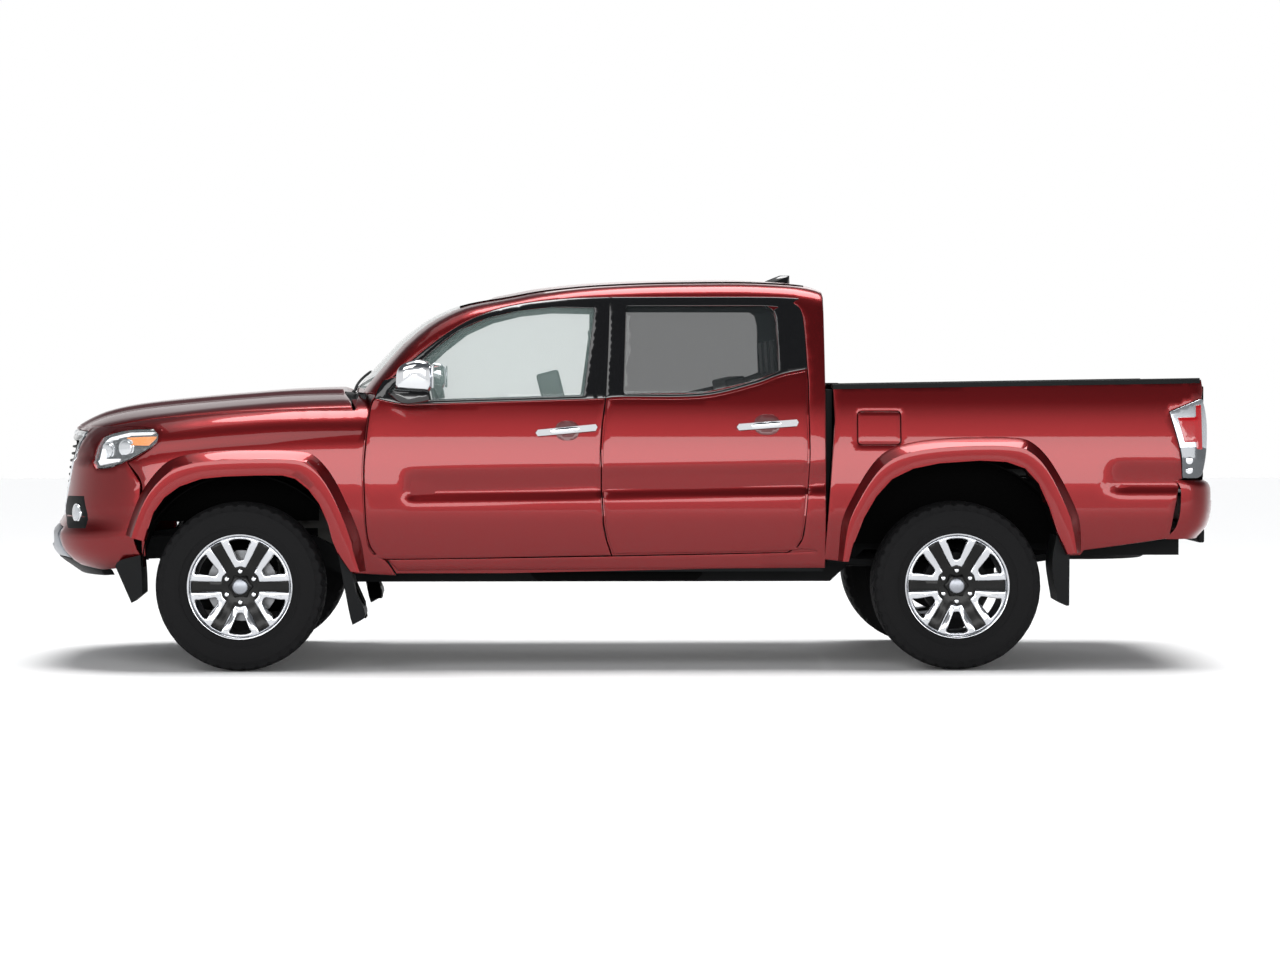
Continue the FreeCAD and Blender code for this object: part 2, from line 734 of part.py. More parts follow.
def cab_half():
    """The left half of the cab: skin, back and front walls, centre pillar, sill and floor."""
    low, top = size.floor_height - size.floor_thickness, size.floor_height
    body = left_solid(CAB_XS, cab_top, ROOF_BLEND)
    cab = cab_wall.common(side_block(CAB_OUTLINE, -1200, 10)).cut(hood_gap)
    back = body.common(block(size.cab_rear - 45, size.cab_rear - 9, -900, 0, low, 1800))
    inset = left_solid(CAB_XS[:4], cab_top, ROOF_BLEND, 54, 20)
    front_wall = inset.common(
        block(FRONT_AXLE + 490, FRONT_AXLE + 554, -832, 0, low, 1040).fuse(
            block(FRONT_AXLE + 490, FRONT_AXLE + 554, size.seat_clearance - 668, 0, 1040, 1262)
        )
    )
    pillar_x = (FRONT_AXLE + 1590, FRONT_AXLE + 1700)
    pillar = left_solid(CAB_XS[5:9], cab_top, ROOF_BLEND, size.wall_thickness + 14, 40).cut(
        left_solid(CAB_XS[5:9], cab_top, ROOF_BLEND, size.wall_thickness + 64, 90)
    ).common(block(*pillar_x, -900, -300, low - 40, 1745))
    for outline in (FRONT_DOOR, REAR_DOOR):
        cab = cab.cut(side_prism(grown(outline, size.panel_gap / 2), cab_skin))
    rail_top = size.rail_bottom + size.rail_depth + size.seat_clearance
    mounts = [
        block(x, x + 90, -size.rail_half_spacing - 30, -size.rail_half_spacing + 30, rail_top, low + 5)
        for x in (FRONT_AXLE + 620, FRONT_AXLE + 1560, size.cab_rear - 120)
    ]
    cab = cab.fuse([
        back, front_wall, pillar, *mounts,
        block(FRONT_AXLE + 500, size.cab_rear - 20, -812, -770, 466, top),
        block(FRONT_AXLE + 730, size.cab_rear - 20, -846, -790, 466, 495),
        block(FRONT_AXLE + 490, size.cab_rear - 20, -800, 0, low, top),
    ])
    cab = cab.cut(front_prism(SCREEN, FRONT_AXLE + 300, FRONT_AXLE + 1250))
    cab = cab.cut(block(pillar_x[0] - 6, pillar_x[1] + 6, -614, -578, 1668, 1692))
    return cab.cut(front_prism(BACKLIGHT, FRONT_AXLE + 2560, FRONT_AXLE + 2700))


shape_node("cab_shell", both_halves(cab_half()))

screen = left_solid(CAB_XS[:6], cab_top, ROOF_BLEND, 6, 6).cut(
    left_solid(CAB_XS[:6], cab_top, ROOF_BLEND, 12, 12)
)
screen = screen.common(front_prism(SCREEN, FRONT_AXLE + 300, FRONT_AXLE + 1250))
shape_node("windscreen", both_halves(screen))
backlight = front_prism(BACKLIGHT, size.cab_rear - 34, size.cab_rear - 28)
shape_node("rear_window", both_halves(backlight))


# Front end

NOSE_XS = [FRONT_AXLE + x for x in (-812, -785, -740, -670, -580, -460, -300, -80, 180, 400, 620)]
NOSE_CORE = 700
nose_outer = left_solid(NOSE_XS, hood_top, HOOD_BLEND, core=NOSE_CORE)
nose_inner = left_solid(NOSE_XS, hood_top, HOOD_BLEND, 40, 36, core=NOSE_CORE)


def face_section(z, inset, front, power, length, back):
    """Half a plan section of a bumper: centre line to side, closed along its back."""
    half = size.body_half_width - smooth(SIDE_PROFILE, z) - inset
    reach = length - inset
    direction = 1 if back > front else -1
    start = front + direction * inset
    last = abs(back - start) / reach
    top_share = (1 - (1 - last) ** power) ** (1 / power)
    points = []
    for share in (0, 0.3, 0.55, 0.7, 0.82, 0.91, 1.0):
        v = share * top_share
        points.append(Vector(start + direction * reach * (1 - (1 - v ** power) ** (1 / power)), -half * v, z))
    return points


def wrapped_solid(levels, inset, back, length, power):
    """The left half of a solid whose front wraps round the corner, by level and front position."""
    wires = []
    for z, front in levels:
        curve = face_section(z, inset, front, power, length, back)
        wires.append(Part.makePolygon(curve + [Vector(back, 0, z), curve[0]]))
    return Part.makeLoft(wires, True, True)


NOSE_BACK = FRONT_AXLE - 300
NOSE_LEVELS = [(z, nose_front(z)) for z in (
    400, 450, 508, 606, 640, 700, 745, 860, 994, 1060, 1108
)]


def nose_solid(inset):
    return wrapped_solid(NOSE_LEVELS, inset, NOSE_BACK, NOSE_LENGTH, NOSE_POWER)


def flare(outline, arch, skin_y):
    """A wheel arch flare: it stands out of the skin and slopes back to it."""
    outer = [loop_wire(grown(outline, move), lambda x, z, y=y: Vector(x, -y, z))
             for y, move in ((size.flare_half_width, -42), (skin_y, 0), (skin_y - 40, 0))]
    tapered = Part.makeLoft(outer[:2], True, True)
    root = Part.Face(outer[1]).extrude(Vector(0, 40, 0))
    return tapered.fuse(root).cut(side_prism(arch))


def side_prism_of(points, y0=REACH, y1=DEEP):
    return side_block(points, -y0, -y1)


HOOD_EDGE = 1096
hood_zone = plan_prism(HOOD, HOOD_EDGE, 1500)
shape_node("hood", both_halves(nose_outer.common(hood_zone).cut(nose_inner)))

front_flare = flare(FRONT_FLARE, FRONT_ARCH, 882)
fender_zone = side_prism_of(FENDER)
under_screen = block(FRONT_AXLE + 380, FRONT_AXLE + 620, -668, 0, 900, 1500).fuse(
    block(FRONT_AXLE + 556, FRONT_AXLE + 620, -722, 0, 900, 1500)
)
fender = nose_outer.common(fender_zone).cut([hood_gap, under_screen, side_prism(FRONT_ARCH)]).cut(nose_inner)
fender = one_solid(fender.fuse(front_flare.common(fender_zone)))
two_sides("fender", fender)

lamp_zone = side_block(HEADLAMP, -1000, -606)
nose_shell = nose_solid(0).cut(nose_solid(50))
grille_zone = front_prism(GRILLE, FRONT_AXLE - 960, FRONT_AXLE - 500)
bumper = nose_shell.common(block(FRONT_AXLE - 960, FRONT_AXLE - 444, -1000, 0, 404, 1052))
bumper = bumper.cut(side_block(
    from_axle([(-700, 1200), (-700, 1034), (-512, 942), (-444, 850), (-426, 850), (-426, 1200)], FRONT_AXLE), -1000, -606
)).cut(lamp_zone).cut(grille_zone)
bumper = bumper.fuse(front_flare.common(side_block(
    from_axle([(-600, 500), (-444, 500), (-444, 842), (-512, 934), (-600, 934)], FRONT_AXLE), -1150, -380
)))
bumper = bumper.fuse(block(
    FRONT_AXLE - 855, FRONT_AXLE - 640 - size.seat_clearance, -size.rail_half_spacing - 30,
    -size.rail_half_spacing + 30, 500, 550
))
shape_node("front_bumper", both_halves(bumper))
shape_node("grille", both_halves(nose_solid(6).cut(nose_solid(44)).common(grille_zone)))
headlamp = nose_solid(0).cut(nose_solid(110)).common(lamp_zone)
two_sides("headlamp", one_solid(headlamp))

cowl_zone = plan_prism([
    from_axle(run, FRONT_AXLE) for run in (
        [(489.7, 0), (426, 0)],
        [(426, 0), (436, -300), (476, -600), (489.7, -660)],
        [(489.7, -660), (489.7, 0)],
    )
], 1150, 1400)
cowl = left_solid(NOSE_XS[-4:], hood_top, HOOD_BLEND, 30, 24, core=NOSE_CORE).cut(
    left_solid(NOSE_XS[-4:], hood_top, HOOD_BLEND, 80, 60, core=NOSE_CORE)
).common(cowl_zone)
shape_node("cowl_panel", both_halves(cowl))

# Load bed

LOW_ZS = (430, 500, 600, 715, 795, 835, 912, 960, 1080, 1200, 1340)
BED_XS = [size.cab_rear + x for x in (0, 1200, 1370, 1490, 1600, 1660, 1700, 1725, 1732)]
bed_slab = side_slab(BED_XS, LOW_ZS, side_skin, size.bed_wall)
bed_zone = side_prism_of(BED_SIDE)
tail_lamp_zone = side_prism_of(TAIL_LAMP)
flap_x0, flap_x1, flap_z0, flap_z1 = FUEL_FLAP
flap_zone = block(REAR_AXLE + flap_x0, REAR_AXLE + flap_x1, -1000, -700, flap_z0, flap_z1)
flap_hole = block(REAR_AXLE + flap_x0 - 4, REAR_AXLE + flap_x1 + 4, -1000, -700, flap_z0 - 4, flap_z1 + 4)
bed_side = bed_slab.common(bed_zone).cut(side_prism(REAR_ARCH)).cut(tail_lamp_zone)
bed_side = bed_side.fuse(flare(REAR_FLARE, REAR_ARCH, 890).cut(block(2600, 2700, -1100, 0, 0, 1400)))
beside_gate = size.tailgate_half_width + size.panel_gap
post = block(TAIL - 140, TAIL - 96, -800, -beside_gate, 868, 1290).fuse(
    block(TAIL - 140, TAIL - 82, -778, -beside_gate, 790, 880)
)
lamp_space = side_slab(BED_XS, LOW_ZS, side_skin, LAMP_DEPTH + size.seat_clearance).common(tail_lamp_zone)
bed_side = bed_side.fuse(post.cut(lamp_space)).cut(block(TAIL - 150, TAIL, -beside_gate, 0, 780, 1400))
pocket = side_slab(BED_XS, LOW_ZS, side_skin, 62)
flap_stop = side_slab(BED_XS, LOW_ZS, side_skin, 70, FLAP_SKIN + size.seat_clearance).common(
    block(REAR_AXLE + flap_x1 - 16, REAR_AXLE + flap_x1 - 2, -1000, -700, flap_z0 + 60, flap_z0 + 100)
)
left_bed = one_solid(bed_side.cut(flap_hole.common(pocket)).fuse(flap_stop))
shape_node("bed_side_left", left_bed)
shape_node("bed_side_right", mirrored(one_solid(bed_side)))
flap = side_slab(BED_XS, LOW_ZS, side_skin, FLAP_SKIN)
shape_node("fuel_flap", one_solid(flap.common(flap_zone)))
lamp_slab = side_slab(BED_XS, LOW_ZS, side_skin, LAMP_DEPTH)
two_sides("tail_lamp", one_solid(lamp_slab.common(bed_zone).common(tail_lamp_zone)))

FLOOR_HALF, FLANGE_HALF = 770, 800
BED_FRONT = size.cab_rear + size.cab_bed_gap
under = size.bed_floor - size.bed_floor_thickness
frame_top = size.rail_bottom + size.rail_depth + size.seat_clearance


def bed_tub():
    """The left half of the load bed's floor, front wall, wheel house and sills on the frame."""
    tub = block(BED_FRONT + 36, TAIL - 144, -FLOOR_HALF, 0, under, size.bed_floor).fuse([
        block(BED_FRONT + 36, TAIL - 144, -FLANGE_HALF, 0, under, size.bed_floor - 15),
        block(BED_FRONT + 4, BED_FRONT + 36, -FLANGE_HALF, 0, under, 1290),
    ])
    above = block(REAR_AXLE - 700, REAR_AXLE + 700, -FLANGE_HALF, 0, 560, 1100)
    house = turned([(-100, 0.01), (110, 0.01), (110, 562), (-100, 562)], 48)
    space = turned([(-94, 0.01), (116, 0.01), (116, 556), (-94, 556)], 48)
    for ring in (house, space):
        ring.Placement = Placement(Vector(REAR_AXLE, -690, 400), Rotation(Vector(0, 0, 1), -90))
    tub = tub.fuse(house.common(above)).cut(space)
    tub = tub.cut(side_slab(BED_XS, LOW_ZS, side_skin, size.bed_wall + size.seat_clearance))
    sills = [
        block(x, x + 70, -size.rail_half_spacing - 35, -size.rail_half_spacing + 35, foot, under + 5)
        for x, foot in ((REAR_AXLE - 390, frame_top + 130), (REAR_AXLE + 320, frame_top + 130),
                        (TAIL - 316, frame_top + 100))
    ]
    return one_solid(tub.fuse(sills))


shape_node("bed_tub", both_halves(bed_tub()))

tailgate = new_body("tailgate")
back_face = size.overall_length / 2 - 78
pad(tailgate, sketch(tailgate, "XZ_Plane", [
    (back_face - size.tailgate_thickness, size.tailgate_bottom), (back_face - 4, size.tailgate_bottom),
    (back_face, 1010), (back_face, 1118), (back_face - 18, 1225), (back_face - 12, 1290),
    (back_face - size.tailgate_thickness, 1290),
]), size.tailgate_half_width * 2, both_ways=True)
pins = circles(tailgate, "XZ_Plane", [(size.overall_length / 2 - 96, size.tailgate_bottom + 15, 9)])
pad(tailgate, pins, (size.tailgate_half_width + size.panel_gap - size.seat_clearance) * 2, both_ways=True)

REAR_BUMPER_LEVELS = [(600, TAIL - 60), (650, TAIL - 20), (720, TAIL - 3), (790, TAIL), (822, TAIL - 2),
                      (858, TAIL - 34)]


def rear_bumper_solid(inset):
    return wrapped_solid(REAR_BUMPER_LEVELS, inset, TAIL - 203, 240, 4.0)


rear_bumper = rear_bumper_solid(0).cut(rear_bumper_solid(46)).cut(
    block(TAIL - 300, TAIL + 10, -780, 0, 784, 900)
).fuse(block(TAIL - 225, TAIL - 60, -size.rail_half_spacing - 30, -size.rail_half_spacing + 30,
             frame_top + 100, frame_top + 150))
shape_node("rear_bumper", both_halves(rear_bumper))


# Frame and running gear

frame = new_body("ladder_frame")
low, high = size.rail_bottom, size.rail_bottom + size.rail_depth
rail = [
    (REAR_AXLE - 540, low), (REAR_AXLE - 380, low + 150), (REAR_AXLE + 380, low + 150),
    (REAR_AXLE + 640, low + 120), (TAIL - 130, low + 120), (TAIL - 130, high + 100),
    (TAIL - 320, high + 100), (REAR_AXLE + 420, high + 130), (REAR_AXLE - 400, high + 130),
    (REAR_AXLE - 560, high), (FRONT_AXLE + 480, high), (FRONT_AXLE + 300, high + 90),
    (FRONT_AXLE - 420, high + 90), (FRONT_AXLE - 640, high + 60), (FRONT_AXLE - 640, low + 100),
    (FRONT_AXLE - 420, low + 110), (FRONT_AXLE + 290, low + 110), (FRONT_AXLE + 500, low),
]
BAR_HEIGHT = 36
cross_bars = [
    (FRONT_AXLE - 630, low + 104), (FRONT_AXLE + 520, low), (FRONT_AXLE + 1500, low),
    (REAR_AXLE - 620, low), (REAR_AXLE + 200, low + 180), (TAIL - 185, low + 150),
]
for side in (LEFT, RIGHT):
    pad(frame, sketch(frame, "XZ_Plane", rail, offset=-side * size.rail_half_spacing),
        size.rail_width, both_ways=True)
    if side == LEFT:
        bars = [
            [(x, z), (x + 50, z), (x + 50, z + BAR_HEIGHT), (x, z + BAR_HEIGHT)] for x, z in cross_bars
        ]
        pad(frame, sketch(frame, "XZ_Plane", *bars), size.rail_half_spacing * 2, both_ways=True)

SPARE_X, SPARE_Z, SPARE_HALF = 655, 600, 128
rail_in = size.rail_half_spacing - size.rail_width / 2
rail_out = size.rail_half_spacing + size.rail_width / 2
hanger = SPARE_Z + SPARE_HALF + size.seat_clearance
pad(frame, sketch(frame, "YZ_Plane", [
    (-rail_out, 590), (-rail_in, 590), (-rail_in, hanger), (rail_in, hanger), (rail_in, 590),
    (rail_out, 590), (rail_out, hanger + 32), (-rail_out, hanger + 32),
], offset=REAR_AXLE + SPARE_X - 30), 60)

TYRE_EDGE = size.tyre_diameter / 2
TYRE_HALF = size.tyre_width / 2
FLANGE = 8
BEAD_HALF = size.rim_width / 2 - FLANGE - size.seat_clearance
BEAD = size.bead_radius + size.seat_clearance
TYRE_SECTION = [
    (-BEAD_HALF, BEAD), (BEAD_HALF, BEAD), (BEAD_HALF, size.rim_radius + size.seat_clearance),
    (TYRE_HALF, TYRE_EDGE - 76), (TYRE_HALF - 15, TYRE_EDGE - 8), (TYRE_HALF - 30, TYRE_EDGE),
    (-TYRE_HALF + 30, TYRE_EDGE), (-TYRE_HALF + 15, TYRE_EDGE - 8), (-TYRE_HALF, TYRE_EDGE - 76),
]
SPOKES = 6
SPOKE_WINDOW = [
    (118, -16), (150, -24), (190, -38), (204, -50), (212, -26), (213, 0), (212, 26), (204, 50),
    (190, 38), (150, 24), (118, 16),
]
SPOKE_CHANNEL = [(62, -14), (196, -24), (200, 0), (196, 24), (62, 14)]


def turned_about(points, degrees):
    c, s = math.cos(math.radians(degrees)), math.sin(math.radians(degrees))
    return [(r * c - t * s, r * s + t * c) for r, t in points]


def rim_shape():
    """The alloy wheel: a barrel, a dished face with six windows, a groove along each spoke, six
    nut pockets and a recess for the cap. It is drawn facing +X."""
    half, seat = size.rim_width / 2, size.bead_radius
    barrel = turned([
        (-half, seat - 13), (half, seat - 13), (half, size.rim_radius),
        (half - FLANGE, size.rim_radius), (half - FLANGE, seat), (-half, seat),
    ])
    outer = half - 26
    face = flat_prism(ring_of(seat - 8, 60), size.wheel_face_inset, outer - size.wheel_face_inset)
    cuts = [flat_prism(ring_of(36, 24), outer - 14, 40)]
    for k in range(SPOKES):
        cuts.append(flat_prism(turned_about(SPOKE_WINDOW, 30 + 60 * k), 0, 200))
        cuts.append(flat_prism(turned_about(SPOKE_CHANNEL, 60 * k), outer - 12, 40))
        nut = turned_about([(size.bolt_circle / 2, 0)], 30 + 60 * k)[0]
        cuts.append(flat_prism(ring_of(11, 6, *nut), outer - 12, 40))
    dish = turned([(outer - 10, 0.01), (outer + 1, 0.01), (outer + 1, 120), (outer - 10, 60)])
    return one_solid(barrel.fuse(face.cut(dish).cut(cuts)))


def rim_with_disc(rim):
    """A front wheel's rim with the brake disc that turns with it."""
    inset = size.wheel_face_inset
    return one_solid(rim.fuse(turned([
        (inset, 50), (inset, 75), (-16, 75), (-16, size.disc_radius), (-40, size.disc_radius), (-40, 50),
    ])))


def place_wheel(shape, axle, y, side):
    wheel = shape.copy()
    wheel.Placement = Placement(Vector(axle, y, AXLE_HEIGHT), Rotation(Vector(0, 0, 1), 90 * side))
    return wheel


tyre_ring, rim_ring = turned(TYRE_SECTION), rim_shape()
for name, axle, track in (("front", FRONT_AXLE, size.front_track), ("rear", REAR_AXLE, size.rear_track)):
    for word, side in (("left", LEFT), ("right", RIGHT)):
        shape_node(f"tyre_{name}_{word}", place_wheel(tyre_ring, axle, side * track / 2, side))
        rim = rim_with_disc(rim_ring) if name == "front" else rim_ring
        shape_node(f"rim_{name}_{word}", place_wheel(rim, axle, side * track / 2, side))

KINGPIN = size.front_track / 2 - size.kingpin_inset
UPRIGHT_HALF = 128


def knuckle(name, side):
    """The upright that carries a front hub, with its steering arm and brake caliper."""
    body = new_body(f"knuckle_{name}")
    pad(body, sketch(body, "XZ_Plane", [
        (-30, -UPRIGHT_HALF), (30, -UPRIGHT_HALF), (58, -20), (58, 30), (30, UPRIGHT_HALF),
        (-30, UPRIGHT_HALF), (-58, 30), (-58, -20),
    ]), 44, both_ways=True)
    pad(body, sketch(body, "XZ_Plane", [(36, -52), (168, -52), (168, -24), (36, -24)]), 40, both_ways=True)
    pad(body, sketch(body, "XZ_Plane", [
        (50, 20), (50, 70), (96, 120), (150, 60), (158, -20), (120, -10), (60, 0),
    ], offset=-29 * side), 58, both_ways=True)
    hub = circles(body, "XZ_Plane", [(0, 0, 46)])
    pad(body, hub, size.kingpin_inset + size.wheel_face_inset - size.seat_clearance, backwards=side == RIGHT)
    place(body, FRONT_AXLE, side * KINGPIN, AXLE_HEIGHT)


knuckle("left", LEFT)
knuckle("right", RIGHT)

DRUM_FACE = size.rear_track / 2 + size.wheel_face_inset - size.seat_clearance
TUBE = 44
DIFFERENTIAL = 158
housing = turned([
    (-DRUM_FACE, 20), (DRUM_FACE, 20), (DRUM_FACE, 148), (DRUM_FACE - 94, 148), (DRUM_FACE - 94, TUBE),
    (150, TUBE), (110, 125), (60, DIFFERENTIAL), (-60, DIFFERENTIAL), (-110, 125), (-150, TUBE),
    (-DRUM_FACE + 94, TUBE), (-DRUM_FACE + 94, 148), (-DRUM_FACE, 148),
], 32)
housing.Placement = Placement(Vector(REAR_AXLE, 0, AXLE_HEIGHT), Rotation(Vector(0, 0, 1), 90))
shape_node("rear_axle", housing)

RAIL_FACE = size.rail_half_spacing + size.rail_width / 2 + size.seat_clearance
SPRING_INSIDE, SPRING_WIDTH = 485, 70


def rear_spring(name, side):
    """A leaf spring on the axle tube, with a bracket on the frame at each end."""
    body = new_body(f"rear_spring_{name}")
    seat = AXLE_HEIGHT + TUBE + size.seat_clearance
    middle = SPRING_INSIDE + SPRING_WIDTH / 2
    pad(body, sketch(body, "XZ_Plane", [
        (REAR_AXLE - 560, seat + 44), (REAR_AXLE - 80, seat), (REAR_AXLE + 80, seat),
        (REAR_AXLE + 620, seat + 74), (REAR_AXLE + 620, seat + 98), (REAR_AXLE + 80, seat + 46),
        (REAR_AXLE - 80, seat + 46), (REAR_AXLE - 560, seat + 68),
    ], offset=-side * middle), SPRING_WIDTH, both_ways=True)
    for x, low_z, high_z in ((-560, 466, 500), (580, 496, 560)):
        reach = SPRING_INSIDE + SPRING_WIDTH - RAIL_FACE
        pad(body, sketch(body, "XZ_Plane", [
            (REAR_AXLE + x, low_z), (REAR_AXLE + x + 40, low_z), (REAR_AXLE + x + 40, high_z),
            (REAR_AXLE + x, high_z),
        ], offset=-side * (RAIL_FACE + reach / 2)), reach, both_ways=True)


rear_spring("left", LEFT)
rear_spring("right", RIGHT)

arms = new_body("front_suspension")
RACK_X, RACK_Z, RACK_RADIUS = 190, AXLE_HEIGHT - 38, 26
BEAM_TOP = AXLE_HEIGHT - 92
for side in (LEFT, RIGHT):
    for z, inner, width in ((AXLE_HEIGHT - 156, 330, 250), (AXLE_HEIGHT + 134, 462, 170)):
        pad(arms, sketch(arms, "XY_Plane", [
            (FRONT_AXLE - width, side * inner), (FRONT_AXLE - width + 60, side * inner),
            (FRONT_AXLE + width, side * inner), (FRONT_AXLE + 40, side * (KINGPIN + 18)),
            (FRONT_AXLE - 40, side * (KINGPIN + 18)),
        ], offset=z), 22)
    if side == LEFT:
        pad(arms, sketch(arms, "XZ_Plane", [
            (FRONT_AXLE - 250, AXLE_HEIGHT - 150), (FRONT_AXLE + 250, AXLE_HEIGHT - 150),
            (FRONT_AXLE + 250, BEAM_TOP), (FRONT_AXLE - 250, BEAM_TOP),
        ]), 700, both_ways=True)
    pad(arms, sketch(arms, "XZ_Plane", [
        (FRONT_AXLE - 70, AXLE_HEIGHT - 140), (FRONT_AXLE + 70, AXLE_HEIGHT - 140),
        (FRONT_AXLE + 50, AXLE_HEIGHT + 150), (FRONT_AXLE - 50, AXLE_HEIGHT + 150),
    ], offset=-side * (RAIL_FACE + 25)), 50, both_ways=True)
    saddle = RACK_Z - RACK_RADIUS - size.seat_clearance
    pad(arms, sketch(arms, "XZ_Plane", [
        (FRONT_AXLE + RACK_X - 20, BEAM_TOP - 10), (FRONT_AXLE + RACK_X + 20, BEAM_TOP - 10),
        (FRONT_AXLE + RACK_X + 20, saddle), (FRONT_AXLE + RACK_X - 20, saddle),
    ], offset=-side * 170), 40, both_ways=True)
    joint = UPRIGHT_HALF + size.seat_clearance
    for z in (AXLE_HEIGHT + joint, AXLE_HEIGHT - 140):
        pin = circles(arms, "XY_Plane", [(FRONT_AXLE, side * KINGPIN, 14)], offset=z)
        pad(arms, pin, 140 - joint)

# The tie rods end short of the steering arms: that pivot of the closed linkage is left open.
TIE_END = 596
rack = new_body("steering_rack")
revolve(rack, sketch(rack, "XY_Plane", [
    (-TIE_END, 0), (-TIE_END, 14), (-300, 14), (-300, RACK_RADIUS), (300, RACK_RADIUS),
    (300, 14), (TIE_END, 14), (TIE_END, 0),
]))
place(rack, FRONT_AXLE + RACK_X, 0, RACK_Z, turn_z=90)

engine = new_body("engine_gearbox")
pad(engine, sketch(engine, "XZ_Plane", [
    (FRONT_AXLE - 300, 620), (FRONT_AXLE + 360, 620), (FRONT_AXLE + 360, 1040), (FRONT_AXLE - 300, 1040),
]), 560, both_ways=True)
gearbox_end, under = FRONT_AXLE + 1250, low + BAR_HEIGHT + size.seat_clearance
pad(engine, sketch(engine, "XZ_Plane", [
    (FRONT_AXLE + 300, 480), (FRONT_AXLE + 480, under), (gearbox_end, under), (gearbox_end, 505),
    (FRONT_AXLE + 470, 505), (FRONT_AXLE + 400, 620), (FRONT_AXLE + 300, 900),
]), 300, both_ways=True)
pad(engine, sketch(engine, "XZ_Plane", [
    (FRONT_AXLE - 60, 530), (FRONT_AXLE + 60, 530), (FRONT_AXLE + 60, 640), (FRONT_AXLE - 60, 640),
]), rail_in * 2 - size.seat_clearance * 2, both_ways=True)

shaft = new_body("propeller_shaft")
shaft_start = gearbox_end + size.seat_clearance
shaft_length = REAR_AXLE - DIFFERENTIAL + 5 - shaft_start
revolve(shaft, sketch(shaft, "XY_Plane", [(0, 0), (0, 38), (shaft_length, 38), (shaft_length, 0)]))
place(shaft, shaft_start, 0, AXLE_HEIGHT + 80)

tank = new_body("fuel_tank")
pad(tank, sketch(tank, "XZ_Plane", [
    (-420, 398), (300, 398), (330, 425), (330, 508), (-420, 508), (-450, 490), (-450, 425),
], offset=RAIL_FACE + 140), 280, both_ways=True)

exhaust = new_body("exhaust")
pad(exhaust, sketch(exhaust, "XZ_Plane", [
    (-200, 400), (420, 400), (420, 508), (-200, 508),
], offset=-(RAIL_FACE + 110)), 220, both_ways=True)

spare = turned([
    (-110, 20), (110, 20), (110, 300), (SPARE_HALF, 330), (104, 372), (-104, 372), (-SPARE_HALF, 330),
    (-110, 300),
], 40)
spare = spare.fuse(turned([(0, 0.01), (SPARE_HALF, 0.01), (SPARE_HALF, 60), (0, 60)], 24))
spare.Placement = Placement(Vector(REAR_AXLE + SPARE_X, 0, SPARE_Z), Rotation(Vector(0, 1, 0), -90))
shape_node("spare_wheel", one_solid(spare))


def seat(name, x, y, width, cushion, back_top):
    """A seat with its cushion, leaning backrest and head restraint."""
    body = new_body(name)
    foot = size.floor_height
    pad(body, sketch(body, "XZ_Plane", [
        (x, foot), (x + 480, foot), (x + 500, cushion - 60), (x + 640, back_top - 60),
        (x + 640, back_top), (x + 560, back_top), (x + 430, cushion), (x - 20, cushion + 10),
        (x - 40, cushion - 70),
    ], offset=-y), width, both_ways=True)
    return body


def head_rest(body, x, y, z, width):
    pad(body, sketch(body, "XZ_Plane", [
        (x, z - 20), (x + 60, z - 20), (x + 100, z + 190), (x + 20, z + 200), (x - 10, z + 60),
    ], offset=-y), width, both_ways=True)


for name, y in (("seat_front_left", -370), ("seat_front_right", 370)):
    front_seat = seat(name, FRONT_AXLE + 1010, y, 500, 850, 1380)
    head_rest(front_seat, FRONT_AXLE + 1575, y, 1380, 270)
bench = seat("seat_rear", FRONT_AXLE + 1850, 0, 1300, 850, 1340)
head_rest(bench, FRONT_AXLE + 2415, 0, 1340, 900)

dashboard = new_body("dashboard")
pad(dashboard, sketch(dashboard, "XZ_Plane", [
    (FRONT_AXLE + 566, 1000), (FRONT_AXLE + 700, 960), (FRONT_AXLE + 800, 1000), (FRONT_AXLE + 832, 1130),
    (FRONT_AXLE + 790, 1200), (FRONT_AXLE + 566, 1212),
]), 1430, both_ways=True)
pad(dashboard, sketch(dashboard, "XZ_Plane", [
    (FRONT_AXLE + 640, size.floor_height), (FRONT_AXLE + 1500, size.floor_height),
    (FRONT_AXLE + 1500, 800), (FRONT_AXLE + 1050, 830), (FRONT_AXLE + 800, 1010), (FRONT_AXLE + 700, 970),
]), 220, both_ways=True)

# The column leans forward and down from the steering wheel. A shroud of the dashboard meets its end.
COLUMN_X, COLUMN_Y, COLUMN_Z = FRONT_AXLE + 900, -370, 1140
COLUMN_TILT = 25
COLUMN_REACH = 60
lean_x, lean_z = math.cos(math.radians(COLUMN_TILT)), math.sin(math.radians(COLUMN_TILT))
shroud_x, shroud_z = COLUMN_X - COLUMN_REACH * lean_x, COLUMN_Z - COLUMN_REACH * lean_z
pad(dashboard, sketch(dashboard, "XZ_Plane", [
    (shroud_x + 45 * lean_z, shroud_z - 45 * lean_x), (shroud_x - 45 * lean_z, shroud_z + 45 * lean_x),
    (shroud_x - 70, shroud_z + 30), (shroud_x - 70, shroud_z - 50),
], offset=-COLUMN_Y), 90, both_ways=True)

rim_half = size.steering_wheel_radius
steering = turned([(-13, rim_half - 13), (13, rim_half - 13), (13, rim_half + 13), (-13, rim_half + 13)], 40)
steering = steering.fuse([
    flat_prism(ring_of(58, 16), -22, 44), block(-7, 7, -180, 180, -16, 16),
    block(-7, 7, -16, 16, 0, 180),
    flat_prism(ring_of(18, 12), -22, 22 + COLUMN_REACH - size.seat_clearance),
])
steering.Placement = Placement(
    Vector(COLUMN_X, COLUMN_Y, COLUMN_Z), Rotation(Vector(0, 1, 0), 180 - COLUMN_TILT)
)
shape_node("steering_wheel", one_solid(steering))

